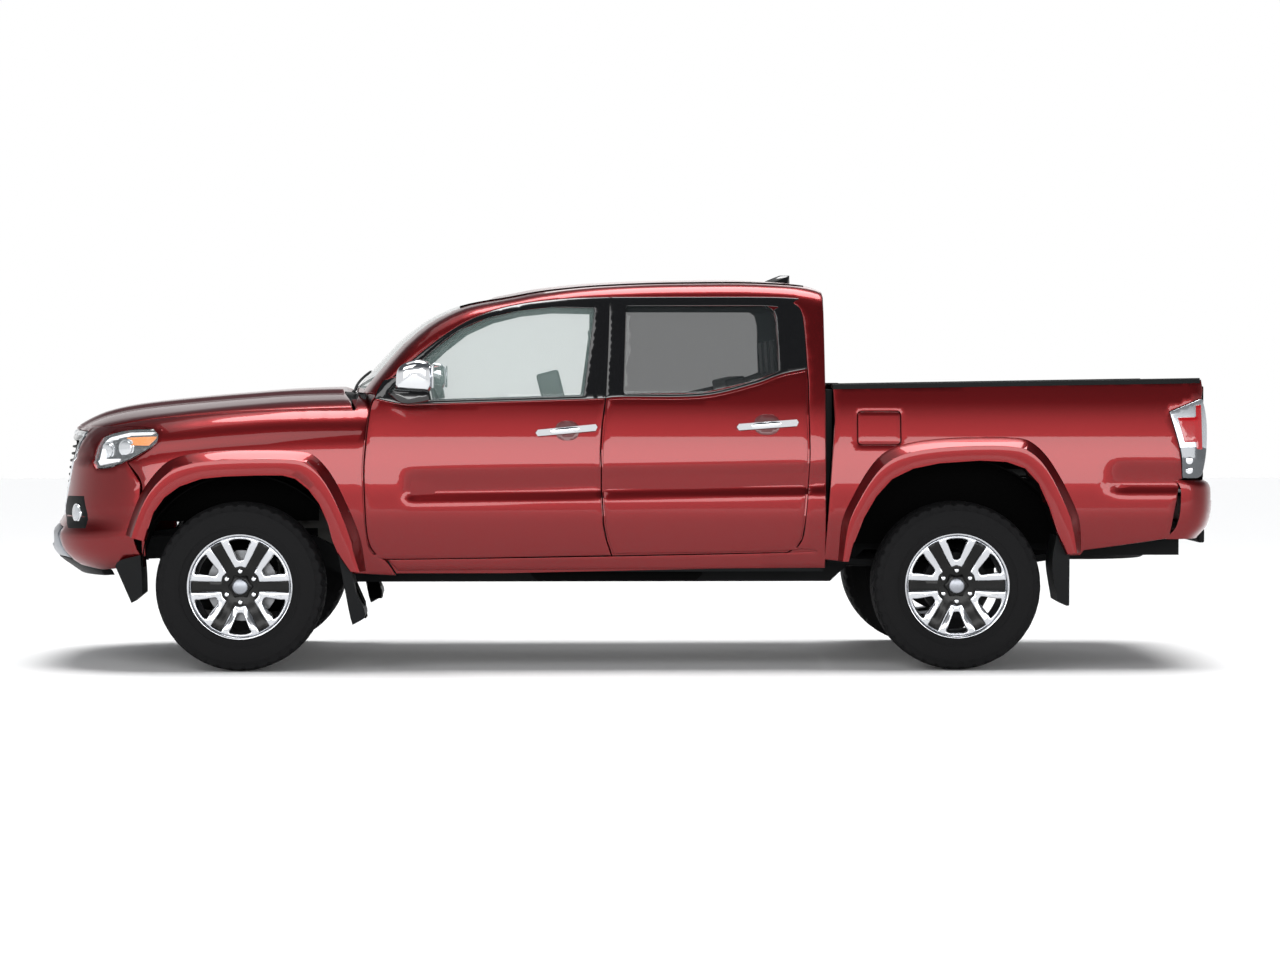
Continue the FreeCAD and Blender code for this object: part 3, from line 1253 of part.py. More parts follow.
fin = Part.makeLoft([
    Part.makePolygon([Vector(x, y, z) for x, y, z in points + points[:1]]) for points in (
        [(636, -28, 1770), (780, -32, 1768), (780, 32, 1768), (636, 28, 1770)],
        [(724, -4, 1812), (775, -5, 1812), (775, 5, 1812), (724, 4, 1812)],
    )
], True, True)
roof_solid = left_solid(CAB_XS, cab_top, ROOF_BLEND)
shape_node("antenna_fin", one_solid(fin.cut(roof_solid).cut(mirrored(roof_solid))))


def front_liner():
    """The shell round a front wheel, with the mud flap behind it."""
    half = (-120, 120)
    ring = turned([(half[0], 480), (half[1], 480), (half[1], 486), (half[0], 486)], 48)
    ring.Placement = Placement(Vector(FRONT_AXLE + 5, -676, 402), Rotation(Vector(0, 0, 1), 90))
    ring = ring.common(block(FRONT_AXLE - 600, FRONT_AXLE + 600, -900, -500, 470, 1000))
    ring = ring.cut(block(FRONT_AXLE - 600, FRONT_AXLE - 444, -900, -762, 400, 545))
    mudflap = side_block(from_axle([
        (464, 500), (470, 380), (500, 232), (560, 232), (552, 300), (500, 420), (486, 500),
    ], FRONT_AXLE), -795, -640)
    return one_solid(ring.fuse(mudflap))


two_sides("front_liner", front_liner())


def mirror_half():
    """An outside mirror with its arm on the corner of the door."""
    cap = [(-1050, 1294), (-1043, 1356), (-953, 1404), (-899, 1390), (-889, 1301), (-892, 1230),
           (-1022, 1222), (-1060, 1262)]
    face = size.body_half_width
    shell = side_block(cap, -face - size.mirror_reach, -face - 20)
    arm = plan_prism(closed([
        (-1122, -face + 120), (-1066, -face + 120), (-996, -face - 60), (-1050, -face - 60),
    ]), 1204, 1250)
    skin = left_solid(CAB_XS[:6], cab_top, ROOF_BLEND, -size.seat_clearance, -size.seat_clearance)
    return one_solid(shell.fuse(one_solid(arm.cut(skin))))


two_sides("mirror", mirror_half())


def check_and_export():
    document.recompute()
    os.makedirs("parts", exist_ok=True)
    for item in document.Objects:
        faults = [state for state in item.State if state in ("Invalid", "Error")]
        if faults:
            raise RuntimeError(f"{item.Label}: {faults}")
    for piece in nodes:
        if not piece.Shape.isValid() or not piece.Shape.Solids:
            raise RuntimeError(f"{piece.Label} is not a valid solid")
        piece.Shape.exportStep(f"parts/{piece.Label}.step")
        print(piece.Label, len(piece.Shape.Solids), round(piece.Shape.Volume / 1e6, 2))


check_and_export()
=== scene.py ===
"""Dresses the pickup truck: paint, glass, lamps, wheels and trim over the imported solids."""
import logging
import math
from dataclasses import dataclass, field
from enum import Enum
from typing import Callable, Iterable, Sequence

import bmesh
import bpy
from mathutils import Matrix, Vector
from mathutils.geometry import delaunay_2d_cdt

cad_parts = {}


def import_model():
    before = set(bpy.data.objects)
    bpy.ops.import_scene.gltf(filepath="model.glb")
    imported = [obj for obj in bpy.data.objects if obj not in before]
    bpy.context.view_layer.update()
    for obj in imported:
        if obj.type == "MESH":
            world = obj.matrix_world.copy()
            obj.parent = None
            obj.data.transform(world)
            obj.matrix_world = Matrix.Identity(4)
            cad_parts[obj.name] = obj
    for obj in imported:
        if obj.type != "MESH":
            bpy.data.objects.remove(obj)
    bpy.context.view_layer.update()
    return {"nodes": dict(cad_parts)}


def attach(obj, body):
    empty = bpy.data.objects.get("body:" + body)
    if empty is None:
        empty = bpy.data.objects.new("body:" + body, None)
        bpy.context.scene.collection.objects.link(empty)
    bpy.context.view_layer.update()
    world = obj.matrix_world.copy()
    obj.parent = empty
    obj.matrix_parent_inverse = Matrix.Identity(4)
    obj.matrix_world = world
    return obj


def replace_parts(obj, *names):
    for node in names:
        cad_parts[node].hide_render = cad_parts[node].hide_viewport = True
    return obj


LOG = logging.getLogger("pickup")
MM = 0.001
Point2 = tuple[float, float]
Outline = list[Point2]

FRONT_AXLE = -1759.0
REAR_AXLE = 1477.0
TAIL = 2696.0
AXLE_HEIGHT = 382.0
HALF_WIDTH = 906.0
FLARE_HALF = 944.0
FRONT_TRACK = 1600.0
REAR_TRACK = 1606.0
CAB_REAR = 890.0


class Side(Enum):
    """The two sides of the truck, as the sign of Y."""

    LEFT = -1
    RIGHT = 1


# Body surface: the same lines as the solids, in millimetres

SIDE_PROFILE = (
    (380, 70), (470, 40), (540, 20), (620, 7), (715, 0), (800, 0), (900, 4), (1000, 11),
    (1100, 22), (1180, 34), (1250, 50), (1400, 92), (1550, 142), (1700, 200), (1900, 290),
)
CREASE = ((745, 0), (770, 1), (787, 7), (797, 14.5), (804, 16), (812, 15.6), (916, 0))
BED_CREASE = ((772, 0), (797, 1), (814, 7), (824, 13), (832, 14), (842, 13.6), (955, 0))
NOSE_PROFILE = (
    (380, 190), (430, 130), (508, 30), (560, 6), (606, 4), (640, 30), (700, 62), (745, 60),
    (830, 68), (994, 84), (1070, 97), (1108, 111), (1150, 175), (1200, 300),
)
NOSE_LENGTH = 700.0
NOSE_POWER = 3.0
HOOD_TOP = (
    (-826, 1100), (-760, 1138), (-687, 1168), (-580, 1194), (-459, 1212), (-210, 1238), (-4, 1256),
    (203, 1272), (379, 1279), (560, 1283),
)
ROOF_TOP = (
    (380, 1150), (430, 1212), (490, 1288), (566, 1377), (704, 1520), (844, 1619), (983, 1676),
    (1168, 1711), (1344, 1744), (1600, 1769), (1900, 1781), (2191, 1784), (2410, 1777),
    (2542, 1766), (2616, 1747), (2670, 1690),
)
HOOD_BLEND = 190.0
ROOF_BLEND = 70.0
RAKE = 0.0175
TAIL_BEND_FROM = 176.0
TAIL_BEND_LENGTH = 110.0
TAIL_BEND_DEPTH = 55.0
TOP_HALF = 700.0
HOOD_SWEEP = 110.0
HOOD_CROWN = 46.0
HOOD_RISE = 16.0
ROOF_BOW = 55.0
ROOF_BACK_BOW = 30.0
ROOF_CROWN = 38.0


def smooth(table: Sequence[Point2], x: float) -> float:
    """Reads a monotone cubic through a table, flat beyond its ends.

    Args:
        table: Pairs of place and value, in rising order.
        x: The place to read.

    Returns:
        The value there.
    """
    if x <= table[0][0]:
        return table[0][1]
    if x >= table[-1][0]:
        return table[-1][1]
    i = next(k for k in range(len(table) - 1) if x <= table[k + 1][0])

    def slope(k: int) -> float:
        """The chord's slope of one interval."""
        return (table[k + 1][1] - table[k][1]) / (table[k + 1][0] - table[k][0])

    def tangent(k: int) -> float:
        """The curve's slope at one point of the table.

        Args:
            k: The point's index.

        Returns:
            The slope there.
        """
        if k == 0:
            return slope(0)
        if k == len(table) - 1:
            return slope(k - 1)
        before, after = slope(k - 1), slope(k)
        return 0.0 if before * after <= 0 else 2 * before * after / (before + after)

    (x0, y0), (x1, y1) = table[i], table[i + 1]
    step = x1 - x0
    t = (x - x0) / step
    return (
        y0 * (1 + 2 * t) * (1 - t) ** 2
        + tangent(i) * step * t * (1 - t) ** 2
        + y1 * t * t * (3 - 2 * t)
        + tangent(i + 1) * step * t * t * (t - 1)
    )


def ramp(low: float, high: float, x: float) -> float:
    """An S-curve from 0 below low to 1 above high."""
    t = min(1.0, max(0.0, (x - low) / (high - low)))
    return t * t * (3 - 2 * t)


def blend_max(a: float, b: float, width: float) -> float:
    """The larger of two values, rounded where they are near each other."""
    share = max(width - abs(a - b), 0.0) / width
    return max(a, b) + share * share * width / 4


def nose_front(z: float) -> float:
    """How far forward the nose stands at a height."""
    return -TAIL + smooth(NOSE_PROFILE, z)


def side_half(x: float, z: float) -> float:
    """Half width of the body side before it turns over into the top.

    Args:
        x: Place along the truck.
        z: Height above ground.

    Returns:
        Distance of the skin from the centre plane.
    """
    half = HALF_WIDTH - smooth(SIDE_PROFILE, z)
    along = x - FRONT_AXLE
    door_share = ramp(715, 780, along) * (1 - ramp(CAB_REAR - 6, CAB_REAR - 2, x))
    half -= smooth(CREASE, z - RAKE * (along - 1171)) * door_share
    half -= smooth(BED_CREASE, z) * ramp(REAR_AXLE + 640, REAR_AXLE + 760, x)
    tail = min(1.0, (x - (TAIL - TAIL_BEND_FROM)) / TAIL_BEND_LENGTH)
    if tail > 0:
        half -= TAIL_BEND_DEPTH * (1 - math.sqrt(1 - tail * tail))
    corner = (nose_front(z) + NOSE_LENGTH - x) / NOSE_LENGTH
    if corner > 0:
        half *= max(0.0, 1 - min(1.0, corner) ** NOSE_POWER) ** (1 / NOSE_POWER)
    return half


def hood_top(x: float, y: float) -> float:
    """Height of the bonnet before it turns down into the fender.

    Args:
        x: Place along the truck.
        y: Place across the truck.

    Returns:
        Height above ground, in millimetres.
    """
    along = x - FRONT_AXLE
    across = abs(y) / TOP_HALF
    sweep = HOOD_SWEEP * across ** 2 * (1 - ramp(-600, 0, along))
    raised = HOOD_RISE * (1 - ramp(330, 430, abs(y) - 0.12 * (along - 200)))
    return smooth(HOOD_TOP, along - sweep) - HOOD_CROWN * across ** 2.2 - HOOD_RISE + raised


def cab_top(x: float, y: float) -> float:
    """Height of the windscreen and roof before they turn down into the cab side.

    Args:
        x: Place along the truck.
        y: Place across the truck.

    Returns:
        Height above ground, in millimetres.
    """
    across = abs(y) / TOP_HALF
    bow = ROOF_BOW * across ** 2
    back_bow = ROOF_BACK_BOW * across ** 2 * ramp(2300, 2600, x - FRONT_AXLE)
    return smooth(ROOF_TOP, x - FRONT_AXLE - bow + back_bow) - ROOF_CROWN * across ** 2


TopSurface = Callable[[float, float], float]


HALVINGS = 26


def last_inside(test: Callable[[float], float], low: float, high: float) -> float:
    """Finds the farthest value from low at which a test is still below 0.

    Args:
        test: Gives a number that rises above 0 somewhere between low and high.
        low: A value at which the test is below 0.
        high: The largest value to try.

    Returns:
        The farthest value found.
    """
    for _ in range(HALVINGS):
        middle = (low + high) / 2
        if test(middle) > 0:
            high = middle
        else:
            low = middle
    return low


@dataclass(frozen=True)
class Skin:
    """A body skin: the side blended into one upper surface."""

    top: TopSurface
    width: float
    core: float

    def outside(self, x: float, y: float, z: float) -> float:
        """Below 0 inside the skin."""
        return blend_max(y - side_half(x, z), z - self.top(x, y), self.width)

    def half(self, x: float, z: float) -> float:
        """Half width of the skin at a point of the side view."""
        return last_inside(lambda y: self.outside(x, y, z), 0.0, 1000.0)

    def height(self, x: float, y: float) -> float:
        """Height of the skin at a point of the plan view."""
        return last_inside(lambda z: self.outside(x, abs(y), z), 700.0, 1900.0)

    def around(self, x: float, turn: float) -> Vector:
        """A point of a cross section, by its turn from the side (0) to the centre line (90).

        Args:
            x: Place along the truck.
            turn: Degrees about the core; below 0 it is a distance down the side instead.

        Returns:
            The point on the left side, in millimetres.
        """
        if turn <= 0:
            z = self.core + turn * 10
            return Vector((x, -self.half(x, z), z))
        dy, dz = math.cos(math.radians(turn)), math.sin(math.radians(turn))
        reach = last_inside(
            lambda r: self.outside(x, r * dy, self.core + r * dz), 0.0, 1300.0
        )
        return Vector((x, -reach * dy, self.core + reach * dz))

    def turn_of(self, x: float, z: float) -> float:
        """The turn of a side view point, for outlines drawn in the side view."""
        if z <= self.core:
            return (z - self.core) / 10
        return math.degrees(math.atan2(z - self.core, self.half(x, z)))


CAB = Skin(cab_top, ROOF_BLEND, 1000.0)
NOSE = Skin(hood_top, HOOD_BLEND, 700.0)


# Finishes

LACQUER_IOR = 1.45
COAT_ROUGHNESS = 0.02
GRAIN_HEIGHT = 0.001
FLAKE_SCALE = 900.0


def srgb(code: str) -> tuple[float, float, float, float]:
    """Turns a hex sRGB colour into linear values.

    Args:
        code: Six hex digits.

    Returns:
        Red, green, blue and an alpha of 1.
    """
    parts = [int(code[i : i + 2], 16) / 255 for i in (0, 2, 4)]
    linear = [c / 12.92 if c <= 0.04045 else ((c + 0.055) / 1.055) ** 2.4 for c in parts]
    return (linear[0], linear[1], linear[2], 1.0)


@dataclass(frozen=True)
class Finish:
    """A procedural material, named for the real one."""

    name: str
    colour: str
    metallic: float = 0.0
    roughness: float = 0.5
    coat: float = 0.0
    alpha: float = 1.0
    grain: float = 0.0
    grain_scale: float = 400.0
    flake: float = 0.0
    glow: float = 0.0
    specular: float = 0.5

    def material(self) -> bpy.types.Material:
        """Builds the material once and returns it.

        Returns:
            The material, which every piece with this finish shares.
        """
        found = bpy.data.materials.get(self.name)
        if found:
            return found
        made = bpy.data.materials.new(self.name)
        made.use_nodes = True
        nodes, links = made.node_tree.nodes, made.node_tree.links
        shader = nodes["Principled BSDF"]
        values = {
            "Base Color": srgb(self.colour), "Metallic": self.metallic, "Roughness": self.roughness,
            "Coat Weight": self.coat, "Coat Roughness": COAT_ROUGHNESS, "Alpha": self.alpha,
            "IOR": LACQUER_IOR, "Specular IOR Level": self.specular,
        }
        if self.glow:
            values |= {"Emission Color": srgb(self.colour), "Emission Strength": self.glow}
        for key, value in values.items():
            shader.inputs[key].default_value = value
        if self.grain:
            noise = self.texture(made, "ShaderNodeTexNoise", self.grain_scale)
            bump = nodes.new("ShaderNodeBump")
            bump.inputs["Strength"].default_value = self.grain
            bump.inputs["Distance"].default_value = GRAIN_HEIGHT
            links.new(noise.outputs["Fac"], bump.inputs["Height"])
            links.new(bump.outputs["Normal"], shader.inputs["Normal"])
        if self.flake:
            cells = self.texture(made, "ShaderNodeTexVoronoi", FLAKE_SCALE)
            spread = nodes.new("ShaderNodeMapRange")
            spread.inputs["To Min"].default_value = self.roughness - self.flake
            spread.inputs["To Max"].default_value = self.roughness + self.flake
            links.new(cells.outputs["Distance"], spread.inputs["Value"])
            links.new(spread.outputs["Result"], shader.inputs["Roughness"])
        return made

    @staticmethod
    def texture(made: bpy.types.Material, kind: str, scale: float) -> bpy.types.Node:
        """Adds a texture read in object coordinates.

        Args:
            made: The material to add it to.
            kind: The texture node's type.
            scale: The value of its Scale socket.

        Returns:
            The texture node.
        """
        where = made.node_tree.nodes.new("ShaderNodeTexCoord")
        pattern = made.node_tree.nodes.new(kind)
        pattern.inputs["Scale"].default_value = scale
        made.node_tree.links.new(where.outputs["Object"], pattern.inputs["Vector"])
        return pattern


PAINT = Finish("red_metallic_paint", "6e0c10", metallic=0.85, roughness=0.30, coat=0.6, flake=0.04)
# Painted shade: a darker copy of the body red for the recesses behind the door handles.
RECESS_SHADE_PAINT = Finish("red_paint_in_shade", "560d11", roughness=0.4, coat=0.5)
CHROME = Finish("polished_chrome", "d8dadd", metallic=1.0, roughness=0.06)
ALLOY = Finish("chromed_alloy", "c4c6ca", metallic=1.0, roughness=0.12)
ALLOY_BARREL = Finish("machined_alloy", "8d9096", metallic=1.0, roughness=0.32)
CHANNEL_BLACK = Finish("gloss_black_enamel", "070707", roughness=0.22, specular=0.25)
TRIM = Finish("black_trim_plastic", "141516", roughness=0.48, grain=0.25, grain_scale=900.0,
              specular=0.1)
GLOSS_TRIM = Finish("gloss_black_trim", "0b0b0c", roughness=0.12, coat=0.7)
RUBBER = Finish("moulded_tyre_rubber", "161617", roughness=0.75, grain=0.15, grain_scale=600.0,
                specular=0.12)
LINER = Finish("moulded_liner", "080808", roughness=0.8, grain=0.3, grain_scale=300.0,
               specular=0.02)
CHASSIS = Finish("chassis_paint", "131415", roughness=0.55, specular=0.08)
CAST = Finish("cast_iron", "5a5a58", metallic=0.7, roughness=0.6, grain=0.4, grain_scale=300.0)
DISC_STEEL = Finish("turned_steel", "6f7072", metallic=1.0, roughness=0.3)
CLEAR_GLASS = Finish("clear_glass", "9fb4b0", roughness=0.02, alpha=0.30)
PRIVACY_GLASS = Finish("grey_tinted_glass", "2a2e2f", roughness=0.02, alpha=0.60)
LENS = Finish("clear_lamp_cover", "cfd6da", roughness=0.02, alpha=0.16)
RED_LENS = Finish("red_lamp_lens", "a30d16", roughness=0.12, coat=0.6)
LAMP_CLEAR = Finish("clear_reflector", "b4b8bd", metallic=0.75, roughness=0.22, coat=1.0)
LAMP_SMOKED = Finish("smoked_reflector", "4c5054", metallic=0.7, roughness=0.2, coat=1.0)
AMBER = Finish("amber_reflector", "f08a18", roughness=0.25)
LAMP_WHITE = Finish("white_light_guide", "f2f4f6", roughness=0.3, glow=0.25)
LEATHER = Finish("black_leather", "17181a", roughness=0.55, grain=0.4, grain_scale=260.0)
DASH = Finish("soft_dash_plastic", "1d1e20", roughness=0.65, grain=0.3, grain_scale=500.0)


# Mesh tools

def dress(obj: bpy.types.Object, finish: Finish) -> bpy.types.Object:
    """Gives an object one finish."""
    obj.data.materials.clear()
    obj.data.materials.append(finish.material())
    return obj


def deselect() -> None:
    """Leaves nothing selected."""
    if bpy.context.object and bpy.context.object.mode != "OBJECT":
        bpy.ops.object.mode_set(mode="OBJECT")
    bpy.ops.object.select_all(action="DESELECT")


def only(obj: bpy.types.Object) -> None:
    """Selects one object and makes it active."""
    deselect()
    obj.select_set(True)
    bpy.context.view_layer.objects.active = obj


def smooth_by_angle(obj: bpy.types.Object, degrees: float = 35.0) -> None:
    """Shades an object smooth apart from edges sharper than an angle."""
    only(obj)
    bpy.ops.object.shade_smooth_by_angle(angle=math.radians(degrees))


def apply_modifier(obj: bpy.types.Object, kind: str, **settings: object) -> None:
    """Adds a modifier and applies it.

    Args:
        obj: The object to change.
        kind: The modifier's type.
        settings: Values for the modifier.
    """
    only(obj)
    modifier = obj.modifiers.new(kind.lower(), kind)
    for key, value in settings.items():
        setattr(modifier, key, value)
    bpy.ops.object.modifier_apply(modifier=modifier.name)


def mesh_object(name: str, points: Iterable[Vector], faces: Iterable[Sequence[int]]
                ) -> bpy.types.Object:
    """Makes an object from points in millimetres.

    Args:
        name: The object's name.
        points: Its vertices.
        faces: Its faces, as vertex numbers.

    Returns:
        The new object.
    """
    data = bpy.data.meshes.new(name)
    data.from_pydata([tuple(Vector(p) * MM) for p in points], [], [tuple(f) for f in faces])
    data.validate()
    obj = bpy.data.objects.new(name, data)
    bpy.context.scene.collection.objects.link(obj)
    return obj


def grid_faces(rows: int, count: int, around: bool = True) -> list[Sequence[int]]:
    """Faces between rows of points.

    Args:
        rows: How many rows there are.
        count: Points in each row.
        around: Whether a row's last point joins its first.

    Returns:
        The faces, as vertex numbers.
    """
    return [
        (row * count + k, row * count + (k + 1) % count, (row + 1) * count + (k + 1) % count,
         (row + 1) * count + k)
        for row in range(rows - 1) for k in range(count if around else count - 1)
    ]


def end_faces(rows: int, count: int) -> list[Sequence[int]]:
    """The first and the last row of points, as two faces."""
    return [tuple(range(count)), tuple(range((rows - 1) * count, rows * count))]


def face_outwards(obj: bpy.types.Object, toward: Vector | None = None) -> None:
    """Makes an object's face normals agree and point out.

    Args:
        obj: The object to mend.
        toward: For an open sheet, the direction that its largest side faces.
    """
    mesh = bmesh.new()
    mesh.from_mesh(obj.data)
    bmesh.ops.remove_doubles(mesh, verts=mesh.verts, dist=2e-6)
    bmesh.ops.recalc_face_normals(mesh, faces=mesh.faces)
    if toward is not None:
        total = Vector()
        for face in mesh.faces:
            total += face.normal * face.calc_area()
        if total.dot(toward) < 0:
            bmesh.ops.reverse_faces(mesh, faces=mesh.faces)
    mesh.to_mesh(obj.data)
    mesh.free()


def shaded_object(name: str, points: Iterable[Vector], faces: Iterable[Sequence[int]],
                  degrees: float, toward: Vector | None = None) -> bpy.types.Object:
    """Makes an object, turns its faces outwards and shades it smooth below an angle.

    Args:
        name: The object's name.
        points: Its corners, in millimetres.
        faces: The indices of the corners of each face.
        degrees: The angle below which edges are smooth.
        toward: For an open sheet, the direction that its largest side faces.

    Returns:
        The object.
    """
    obj = mesh_object(name, points, faces)
    face_outwards(obj, toward)
    smooth_by_angle(obj, degrees)
    return obj


def mirrored_copy(obj: bpy.types.Object, name: str) -> bpy.types.Object:
    """A copy of an object on the other side of the centre plane, with its own mesh.

    Args:
        obj: The object on one side.
        name: The copy's name.

    Returns:
        The copy.
    """
    copy = obj.copy()
    copy.data = obj.data.copy()
    copy.name = copy.data.name = name
    bpy.context.scene.collection.objects.link(copy)
    copy.data.transform(Matrix.Diagonal((1, -1, 1, 1)))
    copy.data.flip_normals()
    return copy


def resample(outline: Outline, step: float) -> Outline:
    """Divides an outline's long edges.

    Args:
        outline: A closed outline.
        step: The longest edge to leave.

    Returns:
        The outline with more points.
    """
    result: Outline = []
    for (x0, y0), (x1, y1) in zip(outline, outline[1:] + outline[:1]):
        count = max(1, math.ceil(math.hypot(x1 - x0, y1 - y0) / step))
        result += [(x0 + (x1 - x0) * k / count, y0 + (y1 - y0) * k / count) for k in range(count)]
    return result


SHARP_TURN = 40.0
CORNER_TURN = 25.0
CURVE_STEP = 14.0
CORNER_STEPS = 4


def turn_at(before: Point2, here: Point2, after: Point2) -> float:
    """How sharply an outline turns at a point, in degrees."""
    first = math.atan2(here[1] - before[1], here[0] - before[0])
    second = math.atan2(after[1] - here[1], after[0] - here[0])
    return abs(math.degrees(math.remainder(second - first, math.tau)))


def rounded(points: Sequence[Point2], closed: bool = True) -> Outline:
    """A smooth curve through an outline's points (Catmull-Rom), leaving sharp corners sharp.

    Args:
        points: The points to pass through.
        closed: Whether the last point joins the first.

    Returns:
        The finer outline.
    """
    count = len(points)
    sharp = [
        turn_at(points[i - 1], points[i], points[(i + 1) % count]) > SHARP_TURN
        for i in range(count)
    ]
    result: Outline = []
    for i in range(count if closed else count - 1):
        p1, p2 = points[i], points[(i + 1) % count]
        p0 = points[i - 1] if not sharp[i] else (2 * p1[0] - p2[0], 2 * p1[1] - p2[1])
        after = (i + 1) % count
        p3 = points[(i + 2) % count] if not sharp[after] else (2 * p2[0] - p1[0], 2 * p2[1] - p1[1])
        length = math.hypot(p2[0] - p1[0], p2[1] - p1[1])
        steps = 1 if sharp[i] and sharp[after] else max(1, math.ceil(length / CURVE_STEP))
        for k in range(steps):
            t = k / steps
            result.append(tuple(
                0.5 * (2 * b + (c - a) * t + (2 * a - 5 * b + 4 * c - d) * t * t
                       + (3 * b - a - 3 * c + d) * t ** 3)
                for a, b, c, d in zip(p0, p1, p2, p3)
            ))
    return result


def round_corners(points: Sequence[Point2], radius: float) -> Outline:
    """Replaces sharp corners by short curves that start a radius before them.

    Args:
        points: The outline's corners, in order.
        radius: How far before and after a corner its curve starts and ends.

    Returns:
        The outline with its corners rounded.
    """
    count = len(points)
    result: Outline = []
    for i, b in enumerate(points):
        a, c = points[i - 1], points[(i + 1) % count]
        before, after = math.dist(a, b), math.dist(b, c)
        if turn_at(a, b, c) < CORNER_TURN:
            result.append(b)
            continue
        u, v = min(radius, before * 0.48) / before, min(radius, after * 0.48) / after
        start = (b[0] + (a[0] - b[0]) * u, b[1] + (a[1] - b[1]) * u)
        end = (b[0] + (c[0] - b[0]) * v, b[1] + (c[1] - b[1]) * v)
        for k in range(CORNER_STEPS + 1):
            t = k / CORNER_STEPS
            result.append(tuple(
                (1 - t) ** 2 * s + 2 * t * (1 - t) * m + t * t * e for s, m, e in zip(start, b, end)
            ))
    return result


def area_of(outline: Outline) -> float:
    """Signed area: above 0 for an anticlockwise outline."""
    return sum(
        a[0] * b[1] - b[0] * a[1] for a, b in zip(outline, outline[1:] + outline[:1])
    ) / 2


def offset(outline: Outline, distance: float) -> Outline:
    """Moves an outline outwards all round, or inwards for a distance below 0.

    Args:
        outline: The closed outline.
        distance: How far it moves.

    Returns:
        The moved outline.
    """
    way = 1 if area_of(outline) > 0 else -1
    moved: Outline = []
    count = len(outline)
    for i, here in enumerate(outline):
        normals = []
        for a, b in ((outline[i - 1], here), (here, outline[(i + 1) % count])):
            dx, dy = b[0] - a[0], b[1] - a[1]
            length = math.hypot(dx, dy) or 1.0
            normals.append((way * dy / length, -way * dx / length))
        nx, ny = normals[0][0] + normals[1][0], normals[0][1] + normals[1][1]
        scale = 2 * distance / max(nx * nx + ny * ny, 0.6)
        moved.append((here[0] + nx * scale, here[1] + ny * scale))
    return moved


def holds(outline: Outline, x: float, y: float) -> bool:
    """Whether a point lies inside an outline.

    Args:
        outline: The closed outline.
        x: The point's first coordinate.
        y: The point's second coordinate.

    Returns:
        True where it lies inside.
    """
    inside = False
    for (x0, y0), (x1, y1) in zip(outline, outline[1:] + outline[:1]):
        if (y0 > y) != (y1 > y) and x < x0 + (x1 - x0) * (y - y0) / (y1 - y0):
            inside = not inside
    return inside


ROW_SHARE = 0.866
CLEAR_SHARE = 0.55


